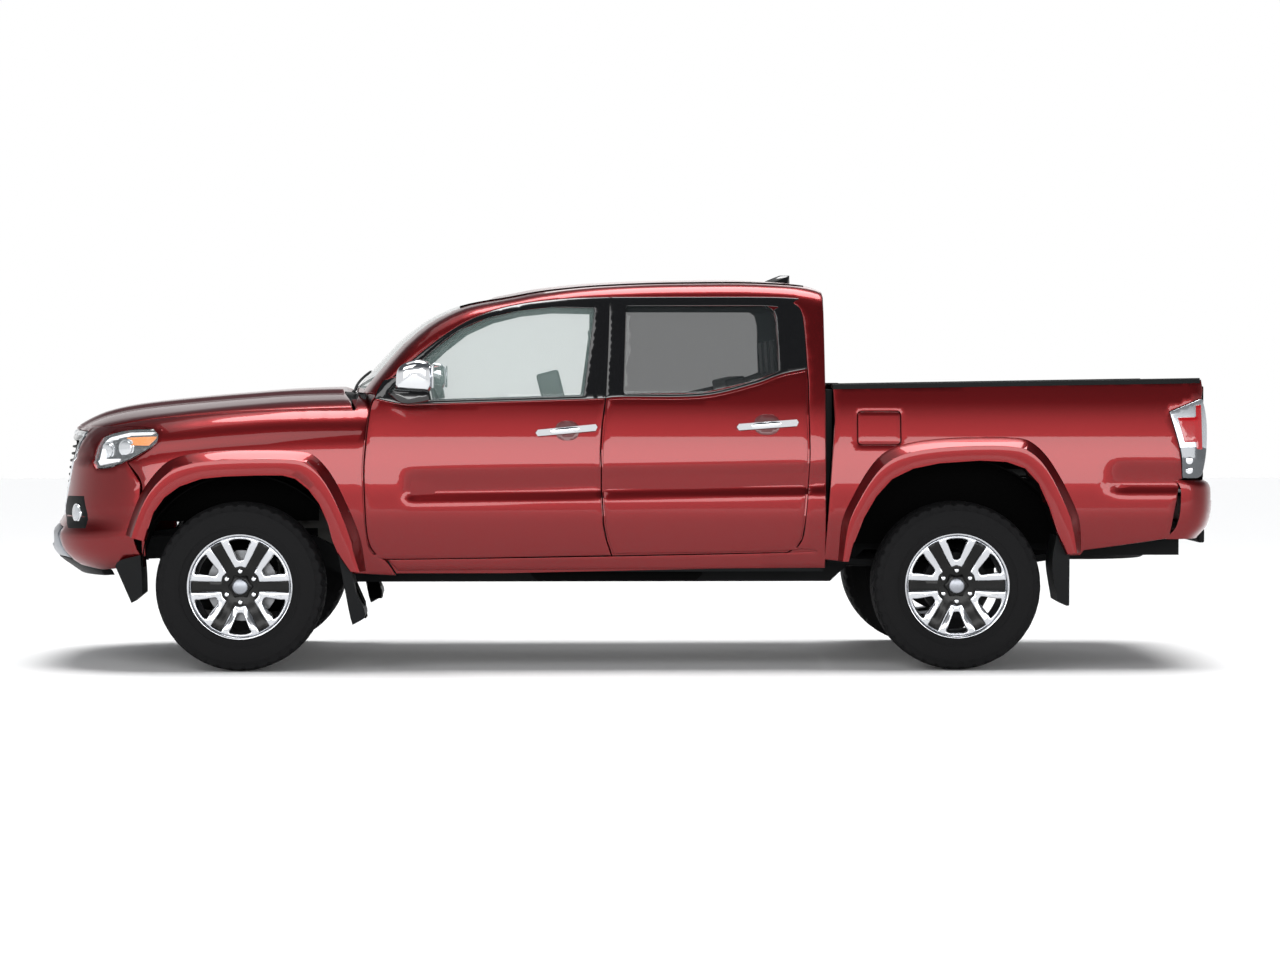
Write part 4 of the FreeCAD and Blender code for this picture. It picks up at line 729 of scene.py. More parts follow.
@dataclass
class Panel:
    """A pressed sheet over a curved surface, with rolled edges round its outline and holes."""

    name: str
    outline: Outline
    surface: Callable[[float, float], Vector]
    facing: Vector
    inward: Callable[[float, float], Vector] | None = None
    holes: list[Outline] = field(default_factory=list)
    step: float = 24.0
    roll: float = 3.0
    depth: float = 24.0
    tall: float = 1.0
    lift: float = 2.0

    def build(self) -> bpy.types.Object:
        """Meshes the panel.

        Returns:
            The object, its outer side facing away from the inward direction.
        """
        scaled = [self.scaled(loop) for loop in (self.outline, *self.holes)]
        loops = [resample(loop, self.step) for loop in scaled]
        rims = [offset(loop, -self.roll if i == 0 else self.roll) for i, loop in enumerate(loops)]
        flat: Outline = [point for rim in rims for point in rim]
        edges, start = [], 0
        for rim in rims:
            edges += [(start + k, start + (k + 1) % len(rim)) for k in range(len(rim))]
            start += len(rim)
        flat += self.inner_points(rims)
        points, _, faces, *_ = delaunay_2d_cdt([Vector(p) for p in flat], edges, [], 0, 1e-4)
        kept = []
        for face in faces:
            cx = sum(points[i][0] for i in face) / len(face)
            cy = sum(points[i][1] for i in face) / len(face)
            if holds(rims[0], cx, cy) and not any(holds(rim, cx, cy) for rim in rims[1:]):
                kept.append(face)
        solid = [self.place(*point) for point in points]
        for loop, rim in zip(loops, rims):
            self.roll_edge(loop, rim, solid, kept)
        return shaded_object(self.name, solid, kept, 50, self.facing)

    def scaled(self, loop: Outline) -> Outline:
        """An outline with its second value in millimetres, like the first."""
        return [(u, v * self.tall) for u, v in loop]

    def place(self, u: float, v: float, sunk: float = 0.0) -> Vector:
        """A point of the surface, moved inwards."""
        v /= self.tall
        inward = self.inward(u, v) if self.inward else -self.facing
        return self.surface(u, v) + inward * (sunk - self.lift)

    def inner_points(self, rims: list[Outline]) -> Outline:
        """A grid of points inside the rims, clear of their edges.

        Args:
            rims: The outer rim first, then the holes' rims.

        Returns:
            The points.
        """
        rim_points = [point for rim in rims for point in rim]
        cell = self.step
        near: dict[tuple[int, int], list[Point2]] = {}
        for u, v in rim_points:
            near.setdefault((int(u // cell), int(v // cell)), []).append((u, v))
        low_u, high_u = min(p[0] for p in rims[0]), max(p[0] for p in rims[0])
        low_v, high_v = min(p[1] for p in rims[0]), max(p[1] for p in rims[0])
        found: Outline = []
        rows = math.ceil((high_v - low_v) / (cell * ROW_SHARE))
        for j in range(rows + 1):
            v = low_v + j * cell * ROW_SHARE
            count = math.ceil((high_u - low_u) / cell)
            for i in range(count + 1):
                u = low_u + (i + 0.5 * (j % 2)) * cell
                a, b = int(u // cell), int(v // cell)
                close = any(
                    math.dist((u, v), other) < cell * CLEAR_SHARE
                    for da in (-1, 0, 1) for db in (-1, 0, 1)
                    for other in near.get((a + da, b + db), [])
                )
                if close or not holds(rims[0], u, v) or any(holds(r, u, v) for r in rims[1:]):
                    continue
                found.append((u, v))
        return found

    def roll_edge(self, loop: Outline, rim: Outline, points: list[Vector],
                  faces: list[Sequence[int]]) -> None:
        """Adds the rolled edge from a rim down to the panel's depth.

        Args:
            loop: The true outline.
            rim: The outline that the flat of the panel ends at.
            points: The mesh's points, added to.
            faces: The mesh's faces, added to.
        """
        count = len(loop)
        rings = []
        rounding = ((1.0, 0.0), (0.3, 0.3 * self.roll), (0.0, self.roll), (0.0, self.depth))
        for share, sunk in rounding:
            moved = [
                (a[0] + (b[0] - a[0]) * share, a[1] + (b[1] - a[1]) * share)
                for a, b in zip(loop, rim)
            ]
            rings.append(len(points))
            points += [self.place(u, v, sunk) for u, v in moved]
        for first, second in zip(rings, rings[1:]):
            for k in range(count):
                after = (k + 1) % count
                faces.append((first + k, first + after, second + after, second + k))


def side_surface(half: Callable[[float, float], float]) -> Callable[[float, float], Vector]:
    """The left side's surface over the side view, from its half width."""
    return lambda x, z: Vector((x, -half(x, z), z))


OUT_LEFT = Vector((0, -1, 0))
UP = Vector((0, 0, 1))
FORWARD = Vector((-1, 0, 0))
BACKWARD = Vector((1, 0, 0))


def both_sides(obj: bpy.types.Object, finish: Finish, body: str = "chassis", node: str | None = None
               ) -> None:
    """Finishes a left piece and its mirror image on the right.

    Args:
        obj: The left piece, still without its side in its name.
        finish: Their finish, unless the piece has its own already.
        body: The body they ride on, without its side for any but the chassis.
        node: The CAD node each stands for, without its side.
    """
    name = obj.name
    twin = mirrored_copy(obj, f"{name}_right")
    obj.name = obj.data.name = f"{name}_left"
    for piece, side in ((obj, "left"), (twin, "right")):
        if not piece.data.materials:
            dress(piece, finish)
        carrier = body if body == "chassis" else f"{body}_{side}"
        settle(piece, carrier, f"{node}_{side}" if node else None)


def settle(piece: bpy.types.Object, body: str, *nodes: str | None) -> None:
    """Makes a piece ride on a body and stand for CAD nodes.

    Args:
        piece: The piece.
        body: The body that carries it.
        nodes: The CAD nodes that it replaces; None stands for no node.
    """
    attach(piece, body)
    real = [node for node in nodes if node]
    if real:
        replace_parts(piece, *real)
    LOG.info("%s rides on %s", piece.name, body)


# Outlines in the side view, measured from the front or rear axle

def from_axle(points: Sequence[Point2], axle: float) -> Outline:
    """Moves an outline from an axle's place to the truck's frame."""
    return [(x + axle, z) for x, z in points]


DOOR_FRONT_EDGE = (
    (605, 1232), (590, 1203), (575, 1118), (563, 1001), (557, 900), (561, 753), (569, 629),
    (583, 566), (610, 527), (660, 502),
)
DOOR_MIDDLE_EDGE = (
    (1675, 518), (1652, 587), (1636, 668), (1626, 829), (1624, 990), (1632, 1111), (1648, 1231),
)
DOOR_REAR_EDGE = (
    (2466, 532), (2510, 555), (2537, 596), (2549, 668), (2562, 829), (2570, 990), (2567, 1151),
    (2566, 1301), (2562, 1364),
)
FRONT_BELT = ((1548, 1227), (849, 1206), (732, 1206))
REAR_BELT = ((2440, 1338), (2317, 1294), (2080, 1241), (1728, 1237))
ROOF_LINE = ((1458, 1682), (1249, 1657), (1096, 1614), (971, 1552), (833, 1453), (684, 1325))
FRONT_DOOR_LOW = from_axle((*DOOR_FRONT_EDGE, *DOOR_MIDDLE_EDGE, *FRONT_BELT), FRONT_AXLE)
FRONT_DOOR_HIGH = from_axle((
    (605, 1232), *reversed(FRONT_BELT), (1648, 1231), (1659, 1450), (1668, 1690), *ROOF_LINE,
    (647, 1312), (617, 1265),
), FRONT_AXLE)
REAR_DOOR_LOW = from_axle((
    *reversed(DOOR_MIDDLE_EDGE), *DOOR_REAR_EDGE, *REAR_BELT,
), FRONT_AXLE)
REAR_DOOR_HIGH = from_axle((
    (1648, 1231), *reversed(REAR_BELT), (2562, 1364), (2545, 1607), (2505, 1663), (2463, 1689),
    (1668, 1690), (1659, 1450),
), FRONT_AXLE)
FRONT_WINDOW = from_axle((
    (668, 1259), (732, 1219), (849, 1219), (1548, 1240), (1600, 1640), (1402, 1644), (1249, 1628),
    (1110, 1594), (985, 1538), (874, 1453),
), FRONT_AXLE)
REAR_WINDOW = from_axle((
    (1728, 1250), (2080, 1254), (2317, 1308), (2435, 1352), (2425, 1579), (2413, 1632),
    (2386, 1650), (1742, 1650),
), FRONT_AXLE)
DOORWAY = from_axle((
    (647, 1312), (617, 1265), *DOOR_FRONT_EDGE, *DOOR_REAR_EDGE, (2545, 1607), (2505, 1663),
    (2463, 1689), (1668, 1690), *ROOF_LINE,
), FRONT_AXLE)
FRONT_ARCH = (
    (-436, 470), (-434, 519), (-425, 573), (-410, 631), (-381, 719), (-332, 787), (-264, 836),
    (-166, 870), (-69, 880), (77, 885), (195, 885), (253, 870), (312, 822), (360, 758), (399, 670),
    (419, 592), (448, 524), (500, 450),
)
REAR_ARCH = (
    (-495, 489), (-469, 583), (-427, 691), (-372, 787), (-301, 866), (-204, 914), (-84, 938),
    (97, 950), (218, 944), (302, 914), (362, 848), (411, 739), (447, 631), (495, 520),
)
FRONT_FLARE = (
    (-520, 600), (-498, 670), (-469, 748), (-430, 827), (-371, 904), (-313, 953), (-215, 983),
    (-69, 997), (126, 1001), (253, 997), (322, 983), (380, 934), (429, 865), (477, 768),
    (516, 680), (546, 592), (560, 495), (566, 440),
)
REAR_FLARE = (
    (-540, 470), (-536, 540), (-523, 679), (-469, 800), (-397, 920), (-324, 992), (-228, 1028),
    (-84, 1049), (97, 1057), (242, 1055), (326, 1040), (398, 980), (459, 890), (513, 787),
    (549, 703), (561, 631), (566, 520),
)
FENDER = from_axle((
    (-640, 1099), (-545, 1101), (-434, 1099), (-400, 1093), (-371, 1068), (-373, 1034),
    (-400, 1003), (-465, 961), (-505, 943), (-441, 852), (-441, 719), (-441, 519), (-425, 519),
    *FRONT_ARCH[2:-1],
    (500, 440), (700, 430), (656, 495), (605, 521), (577, 562), (566, 629), (555, 753),
    (551, 900), (557, 1001), (569, 1118), (584, 1203), (600, 1240), (580, 1252), (516, 1252),
    (516, 1182), (512, 1176), (210, 1174), (-70, 1162), (-270, 1147), (-420, 1132), (-560, 1110),
    (-620, 1100.5),
), FRONT_AXLE)
BED_SIDE = from_axle((
    (-560, 1287), (-553, 1131), (-570, 900), (-600, 501), *REAR_ARCH, (560, 522), (577, 542),
    (715, 560), (962, 596), (1012, 866), (1021, 867), (1010, 994), (965, 1170), (1090, 1222),
    (1117, 1230), (1123, 1270), (1119, 1312),
), REAR_AXLE)
TAIL_LAMP = from_axle((
    (967, 1168), (1090, 1219), (1119, 1227), (1131, 1187), (1140, 1118), (1138, 1015), (1125, 926),
    (1114, 884), (1092, 869), (1023, 868), (1013, 994),
), REAR_AXLE)
FUEL_FLAP = from_axle(((-452, 1018), (-254, 1018), (-254, 1172), (-452, 1172)), REAR_AXLE)
RED_LENS_AREA = ((2478, 1143), (2563, 1146), (2563, 1198), (2590, 1202), (2592, 997), (2563, 1000),
                 (2563, 1031), (2508, 1031), (2494, 1090))
REAR_FACE = ((592, 66), (600, 60), (650, 20), (720, 3), (790, 0), (822, 2), (846, 14), (858, 34))
HEADLAMP = from_axle((
    (-383, 1066), (-405, 1083), (-434, 1089), (-561, 1086), (-660, 1060), (-677, 1038),
    (-676, 950), (-654, 912), (-597, 918), (-540, 937), (-471, 972), (-409, 1012), (-385, 1038),
), FRONT_AXLE)
HOOD_SIDE = ((-560, -668), (-420, -714), (-270, -745), (-70, -765), (210, -783))
SCREEN_LEFT = ((-640, 1270), (-615, 1380), (-590, 1480), (-550, 1582), (-505, 1676), (-260, 1699))


NOSE_SAMPLES = 240
NOSE_HALF = 886.0
NOSE_TOP_FROM = 950.0
PULL_STEP = 4.0
PULL_LIMIT = 200.0


@dataclass(frozen=True)
class Nose:
    """The front face, by distance round it from the centre and by height."""

    samples: tuple[tuple[float, float, float], ...]

    @staticmethod
    def make() -> "Nose":
        """Measures the face's curve at full width.

        Returns:
            The face, ready to be read.
        """
        found, last, travelled = [], (0.0, 0.0), 0.0
        for k in range(NOSE_SAMPLES + 1):
            turn = math.radians(90 * (k / NOSE_SAMPLES))
            across = math.sin(turn) ** (2 / NOSE_POWER)
            back = 1 - math.cos(turn) ** (2 / NOSE_POWER)
            travelled += math.hypot((across - last[0]) * NOSE_HALF, (back - last[1]) * NOSE_LENGTH)
            last = (across, back)
            found.append((travelled, across, back))
        return Nose(tuple(found))

    def read(self, column: int, value: float, result: int) -> float:
        """Looks a value up in one column of the curve and returns another.

        Args:
            column: The column that holds the value.
            value: The value to look up.
            result: The column to read.

        Returns:
            The number read there.
        """
        rows = self.samples
        if value >= rows[-1][column]:
            return rows[-1][result]
        k = next(i for i in range(len(rows) - 1) if rows[i + 1][column] >= value)
        low, high = rows[k][column], rows[k + 1][column]
        part = (value - low) / (high - low) if high > low else 0.0
        return rows[k][result] + (rows[k + 1][result] - rows[k][result]) * part

    def point(self, run: float, z: float) -> Vector:
        """A point of the face.

        Args:
            run: Distance round the face from the centre line, below 0 on the left.
            z: Height above ground.

        Returns:
            The point, in millimetres.
        """
        half = HALF_WIDTH - smooth(SIDE_PROFILE, z)
        across, back = self.read(0, abs(run), 1), self.read(0, abs(run), 2)
        extra = max(0.0, abs(run) - self.samples[-1][0])
        x, y = nose_front(z) + NOSE_LENGTH * back + extra, half * across
        if z > NOSE_TOP_FROM:

            def pulled(shift: float) -> Point2:
                """The point, moved back and towards the centre plane."""
                return x + shift * (1 - 0.4 * across), y - 0.6 * shift * across

            shift = 0.0
            while shift < PULL_LIMIT and NOSE.outside(*pulled(shift), z) > 0:
                shift += PULL_STEP
            x, y = pulled(shift)
        return Vector((x, math.copysign(y, run), z))

    def run_at_x(self, x: float, z: float) -> float:
        """The left side's run at a point of the side view.

        Args:
            x: Place along the truck.
            z: Height above ground.

        Returns:
            The distance round the face from the centre line, below 0.
        """
        back = max(0.0, (x - nose_front(z)) / NOSE_LENGTH)
        if back >= 1:
            return -(self.samples[-1][0] + (back - 1) * NOSE_LENGTH)
        return -self.read(2, back, 0)

    def run_at_y(self, y: float, z: float) -> float:
        """The run at a point of the front view."""
        half = HALF_WIDTH - smooth(SIDE_PROFILE, z)
        return math.copysign(self.read(1, min(1.0, abs(y) / half), 0), y)

    def inward(self, run: float, z: float) -> Vector:
        """The level direction into the body."""
        ahead, behind = self.point(run + 2, z), self.point(run - 2, z)
        along = (ahead - behind).normalized()
        return Vector((along.y, -along.x, 0.0)).normalized()


NOSE_FACE = Nose.make()


# Painted body

def cab_around(x: float, turn: float) -> Vector:
    """The whole cab's skin, turning from the left sill over the roof to the right sill.

    Args:
        x: Place along the truck.
        turn: Degrees from the left side (0) over the centre line (90) to the right (180).

    Returns:
        The point on the skin, in millimetres.
    """
    if turn <= 90:
        return CAB.around(x, turn)
    point = CAB.around(x, 180 - turn)
    return Vector((point.x, -point.y, point.z))


def cab_inward(_x: float, turn: float) -> Vector:
    """Towards the middle of the cab."""
    angle = math.radians(min(180.0, max(0.0, turn)))
    return Vector((0, math.cos(angle), -math.sin(angle)))


def other_side(outline: Outline) -> Outline:
    """The same outline of the cab's skin on the right, in reversed order."""
    return [(x, 180 - turn) for x, turn in reversed(outline)]


def screen_place(y: float, z: float) -> Point2:
    """Where a point of the front view lies on the cab's skin."""
    x = last_inside(lambda s: CAB.outside(-s, abs(y), z), 450.0, 1500.0)
    turn = math.degrees(math.atan2(z - CAB.core, abs(y)))
    return (-x, turn)


def side_panel(name: str, outline: Outline, skin: Skin | None, holes: Sequence[Outline] = (),
               **settings: float) -> bpy.types.Object:
    """A panel of the left side, drawn in the side view.

    Args:
        name: The object's name.
        outline: The panel's outline.
        skin: The skin it lies in, or None for the plain side of the load bed.
        holes: Openings.
        settings: Other values of the panel.

    Returns:
        The panel.
    """
    half = skin.half if skin else side_half
    panel = Panel(
        name, rounded(outline), side_surface(half), OUT_LEFT,
        holes=[round_corners(rounded(hole), 22) for hole in holes], **settings,
    )
    return panel.build()


def strip(name: str, path: Sequence[Vector], section: Sequence[Point2], across: Sequence[Vector],
          up: Vector) -> bpy.types.Object:
    """Sweeps a section along a path.

    Args:
        name: The object's name.
        path: Points along it.
        section: Points of the section, as distances across and up.
        across: The direction across at each point of the path.
        up: The direction up, the same along all of it.

    Returns:
        The swept object, with flat ends.
    """
    points = [p + a * s + up * t for p, a in zip(path, across) for s, t in section]
    rows, size = len(path), len(section)
    return shaded_object(name, points, grid_faces(rows, size) + end_faces(rows, size), 40)


def box(name: str, low: Sequence[float], high: Sequence[float], bevel: float = 4.0,
        segments: int = 3) -> bpy.types.Object:
    """A block with rounded edges.

    Args:
        name: The object's name.
        low: Its lowest corner, in millimetres.
        high: Its highest corner.
        bevel: Radius of the edges.
        segments: Faces round an edge.

    Returns:
        The block.
    """
    deselect()
    middle = [(a + b) / 2 * MM for a, b in zip(low, high)]
    bpy.ops.mesh.primitive_cube_add(size=1, location=middle)
    obj = bpy.context.object
    obj.name = obj.data.name = name
    obj.scale = [abs(b - a) * MM for a, b in zip(low, high)]
    bpy.ops.object.transform_apply(location=True, rotation=True, scale=True)
    if bevel:
        apply_modifier(obj, "BEVEL", width=bevel * MM, segments=segments, limit_method="ANGLE")
    smooth_by_angle(obj)
    return obj


def cylinder(name: str, centre: Sequence[float], axis: Vector, radius: float, length: float,
             sides: int = 48, bevel: float = 0.0) -> bpy.types.Object:
    """A cylinder about its centre.

    Args:
        name: The object's name.
        centre: Its middle, in millimetres.
        axis: Its direction.
        radius: Its radius.
        length: Its length.
        sides: Faces round it.
        bevel: Radius of its edges.

    Returns:
        The cylinder.
    """
    deselect()
    turn = UP.rotation_difference(axis).to_euler()
    bpy.ops.mesh.primitive_cylinder_add(
        vertices=sides, radius=radius * MM, depth=length * MM, rotation=turn,
        location=[c * MM for c in centre],
    )
    obj = bpy.context.object
    obj.name = obj.data.name = name
    bpy.ops.object.transform_apply(location=True, rotation=True, scale=True)
    if bevel:
        apply_modifier(obj, "BEVEL", width=bevel * MM, segments=2, limit_method="ANGLE")
    smooth_by_angle(obj)
    return obj


def joined(name: str, pieces: Sequence[bpy.types.Object]) -> bpy.types.Object:
    """Joins pieces into one object, keeping their finishes.

    Args:
        name: The joined object's name.
        pieces: The pieces, which become one.

    Returns:
        The joined object.
    """
    deselect()
    for piece in pieces:
        piece.select_set(True)
    bpy.context.view_layer.objects.active = pieces[0]
    bpy.ops.object.join()
    obj = bpy.context.object
    obj.name = obj.data.name = name
    return obj


NEAR_CENTRE = 0.001
SCREEN_TOP = 1706.0


@dataclass
class Cab:
    """The cab's painted skin, its back wall, fixed glass, roof fin and dark trims."""

    rear_x: float = 881.0

    def build(self) -> None:
        """Builds the cab's pieces."""
        for sheet in (self.skin(), self.back_wall()):
            settle(dress(sheet, PAINT), "chassis")
        for piece in self.glass():
            settle(piece, "chassis")
        settle(dress(self.fin(), GLOSS_TRIM), "chassis", "antenna_fin")
        self.drip_rails()
        self.sill_black()
        settle(dress(self.bed_gap_strip(), TRIM), "chassis")

    def left_edge(self) -> Outline:
        """The left side's edge, from the back of the sill to the foot of the windscreen pillar.

        Returns:
            Pairs of place along the truck and turn.
        """
        corners = from_axle((
            (708, 452), (664, 503), (612, 560), (610, 1000), (620, 1100), (700, 1150), (700, 1322),
            (640, 1312), (604, 1250), (560, 1252),
        ), FRONT_AXLE)
        return [(x, CAB.turn_of(x, z)) for x, z in [(self.rear_x, 462), *corners]]

    def skin(self) -> bpy.types.Object:
        """The skin round the doors and windscreen, over the roof and down the other side.

        Returns:
            The skin as one sheet.
        """
        left = self.left_edge()
        pillar = [screen_place(y, z) for y, z in SCREEN_LEFT]
        middle = screen_place(NEAR_CENTRE, SCREEN_TOP)
        outline = [*left, *pillar, middle, *other_side(pillar), *other_side(left)]
        doorway = [(x, CAB.turn_of(x, z)) for x, z in rounded(DOORWAY)]
        return Panel(
            "cab_paint", outline, cab_around, UP, cab_inward,
            holes=[doorway, other_side(doorway)], step=30.0, tall=13.0,
        ).build()

    def back_wall(self) -> bpy.types.Object:
        """The flat back with its window.

        Returns:
            The panel.
        """
        return Panel(
            "cab_back_paint", self.section(), lambda y, z: Vector((self.rear_x, y, z)), BACKWARD,
            holes=[self.rear_window(0)], step=45.0, depth=8.0,
        ).build()

    @staticmethod
    def rear_window(inset: float) -> Outline:
        """The rear window's outline, drawn in by a distance."""
        low, high, foot, head = 590 - inset, 560 - inset, 1340 + inset, 1600 - inset
        return round_corners([(-low, foot), (low, foot), (high, head), (-high, head)], 60 - inset)

    def section(self) -> Outline:
        """The cab's cross section at its back."""
        left = [CAB.around(self.rear_x, k * 5.0) for k in range(-10, 19)]
        half = [(p.y, p.z) for p in left]
        return half + [(-y, z) for y, z in reversed(half[:-1])]

    def glass(self) -> list[bpy.types.Object]:
        """Windscreen and rear window.

        Returns:
            The two panes.
        """
        pillar = [screen_place(y, z) for y, z in SCREEN_LEFT]
        low = [screen_place(y, 1284 - 14 * abs(y / 640)) for y in (-1, -200, -420)]
        half = [*low, *pillar, (screen_place(NEAR_CENTRE, SCREEN_TOP)[0], 90.0)]
        outline = half + other_side(half)[1:]
        screen = Panel(
            "windscreen_glass", outline, cab_around, UP, cab_inward, step=40.0, tall=13.0,
            roll=1.0, depth=4.0, lift=-6.0,
        ).build()
        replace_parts(dress(screen, CLEAR_GLASS), "windscreen")
        back = Panel(
            "rear_window_glass", self.rear_window(2), lambda y, z: Vector((self.rear_x - 4, y, z)),
            BACKWARD, step=90.0, roll=1.0, depth=4.0, lift=0.0,
        ).build()
        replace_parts(dress(back, PRIVACY_GLASS), "rear_window")
        return [screen, back]

    def fin(self) -> bpy.types.Object:
        """The aerial fin at the back of the roof.

        Returns:
            The fin.
        """
        shares, sides = (0.0, 0.35, 0.7, 0.9, 1.0), 16
        points: list[Vector] = []
        for share in shares:
            z = 1768 + 43 * share
            front, back = 636 + 96 * share ** 1.4, 780 - 2 * share
            width = 31 * (1 - share) ** 0.6 + 3
            for k in range(sides):
                turn = math.tau * k / sides
                x = (front + back) / 2 + (back - front) / 2 * math.cos(turn)
                y = width * math.sin(turn) * (1 - 0.35 * math.cos(turn + math.pi))
                points.append(Vector((x, y, z)))
        rows = len(shares)
        faces = grid_faces(rows, sides) + end_faces(rows, sides)[1:]
        return shaded_object("aerial_fin", points, faces, 50)

    def drip_rails(self) -> None:
        """The black strip along each side of the roof."""
        path = [CAB.around(FRONT_AXLE + 980 + (2560 - 980) * k / 40, 52.0) for k in range(41)]
        across = [Vector((0, -1, 0.9)).normalized()] * len(path)
        rail = strip("roof_strip", path, ((-9, -2), (9, -2), (7, 3), (-7, 3)), across,
                     Vector((0, -0.67, 0.74)))
        both_sides(rail, GLOSS_TRIM)

    def sill_black(self) -> None:
        """The dark underside below each sill."""
        edge = box("sill_underside", (FRONT_AXLE + 700, -858, 446), (self.rear_x - 8, -700, 463), 3)
        both_sides(edge, CHASSIS)

    def bed_gap_strip(self) -> bpy.types.Object:
        """The dark closing strip between cab and load bed."""
        left = box("gap_strip", (self.rear_x, -812, 560), (self.rear_x + 36, -760, 1270), 3)
        right = box("gap_strip_b", (self.rear_x, 760, 560), (self.rear_x + 36, 812, 1270), 3)
        return joined("gap_strip", [left, right])


@dataclass
class Doors:
    """Four doors with their windows and handles."""

    def build(self) -> None:
        """Builds the left doors and mirrors them."""
        sides = (
            ("front_door", FRONT_DOOR_LOW, FRONT_DOOR_HIGH, FRONT_WINDOW, CLEAR_GLASS,
             (FRONT_AXLE + 1341, 1075, FRONT_AXLE + 1601, 1101), (-340, -232, 1040, 1129)),
            ("rear_door", REAR_DOOR_LOW, REAR_DOOR_HIGH, REAR_WINDOW, PRIVACY_GLASS,
             (FRONT_AXLE + 2247, 1101, FRONT_AXLE + 2508, 1122), (558, 674, 1064, 1158)),
        )
        for name, low, high, window, glass, bar, cup in sides:
            trim, lift = (-2.5, 2.0) if name == "front_door" else (-9.0, 1.4)
            sheet = side_panel(f"{name}_paint", offset(low, trim), CAB, roll=3.5, lift=lift)
            both_sides(sheet, PAINT, name)
            frame = side_panel(f"{name}_frame", high, CAB, [window], step=18.0, roll=2.0, lift=1.4)
            both_sides(frame, GLOSS_TRIM, name)
            pane = side_panel(f"{name}_pane", offset(rounded(window), 1.0), CAB, step=45.0,
                              roll=0.5, depth=4.0, lift=-15.0)
            both_sides(pane, glass, name, f"{name}_glass")
            handle = self.handle(f"{name}_handle", *bar)
            both_sides(handle, CHROME, name)
            dimple = self.cup(f"{name}_cup", self.oval(*cup))
            # The recess is dressed in a darker red: painted shade in the cup behind the handle.
            both_sides(dimple, RECESS_SHADE_PAINT, name)

    @staticmethod
    def oval(x0: float, x1: float, z0: float, z1: float) -> Outline:
        """The outline of a finger recess.

        Args:
            x0: Its front end.
            x1: Its rear end.
            z0: Its lower end.
            z1: Its upper end.

        Returns:
            The outline in the side view.
        """
        cx, cz, rx, rz = (x0 + x1) / 2, (z0 + z1) / 2, (x1 - x0) / 2, (z1 - z0) / 2
        turns = [math.tau * k / 28 for k in range(28)]
        return [
            (cx + rx * math.copysign(abs(math.cos(t)) ** 0.8, math.cos(t)),
             cz + rz * math.copysign(abs(math.sin(t)) ** 0.8, math.sin(t)))
            for t in turns
        ]

    @staticmethod
    def cup(name: str, outline: Outline) -> bpy.types.Object:
        """The recess behind a handle, let into the surface; the darker red it is given is painted
        shade.

        Args:
            name: The object's name.
            outline: Its outline in the side view.

        Returns:
            The recess.
        """
        return Panel(
            name, outline, side_surface(CAB.half), OUT_LEFT, step=14.0, roll=1.0, depth=1.0,
            lift=2.8,
        ).build()

    @staticmethod
    def handle(name: str, x0: float, z0: float, x1: float, z1: float) -> bpy.types.Object:
        """A pull bar bowed out over its recess.

        Args:
            name: The object's name.
            x0: The front end's place along the truck.
            z0: The front end's height.
            x1: The rear end's place along the truck.
            z1: The rear end's height.

        Returns:
            The bar.
        """
        steps, sides = 24, 14
        points: list[Vector] = []
        for k in range(steps + 1):
            t = k / steps
            x, z = x0 - 10 + (x1 - x0 + 18) * t, z0 + (z1 - z0) * t
            bow = math.sin(math.pi * t) ** 0.45
            middle = Vector((x, -CAB.half(x, z) - 6 - 26 * bow, z))
            grow = min(1.0, 0.35 + math.sin(math.pi * k / steps) ** 0.5)
            for a in range(sides):
                turn = math.tau * a / sides
                ring = Vector((0, 7 * grow * math.cos(turn), 14 * grow * math.sin(turn)))
                points.append(middle + ring)
        faces = grid_faces(steps + 1, sides) + end_faces(steps + 1, sides)
        return shaded_object(name, points, faces, 60)


def ray_radius(outline: Sequence[Point2], centre: Point2, turn: float) -> float | None:
    """How far an open outline lies from a centre in one direction.

    Args:
        outline: The outline's corners, in order.
        centre: The centre.
        turn: The direction, in radians.

    Returns:
        The distance, or None where the outline has no point in that direction.
    """
    dx, dz = math.cos(turn), math.sin(turn)
    for (x0, z0), (x1, z1) in zip(outline, outline[1:]):
        ax, az, bx, bz = x0 - centre[0], z0 - centre[1], x1 - centre[0], z1 - centre[1]
        cross_a, cross_b = dx * az - dz * ax, dx * bz - dz * bx
        if cross_a * cross_b > 0 or cross_a == cross_b:
            continue
        part = cross_a / (cross_a - cross_b)
        px, pz = ax + (bx - ax) * part, az + (bz - az) * part
        if px * dx + pz * dz > 0:
            return px * dx + pz * dz
    return None


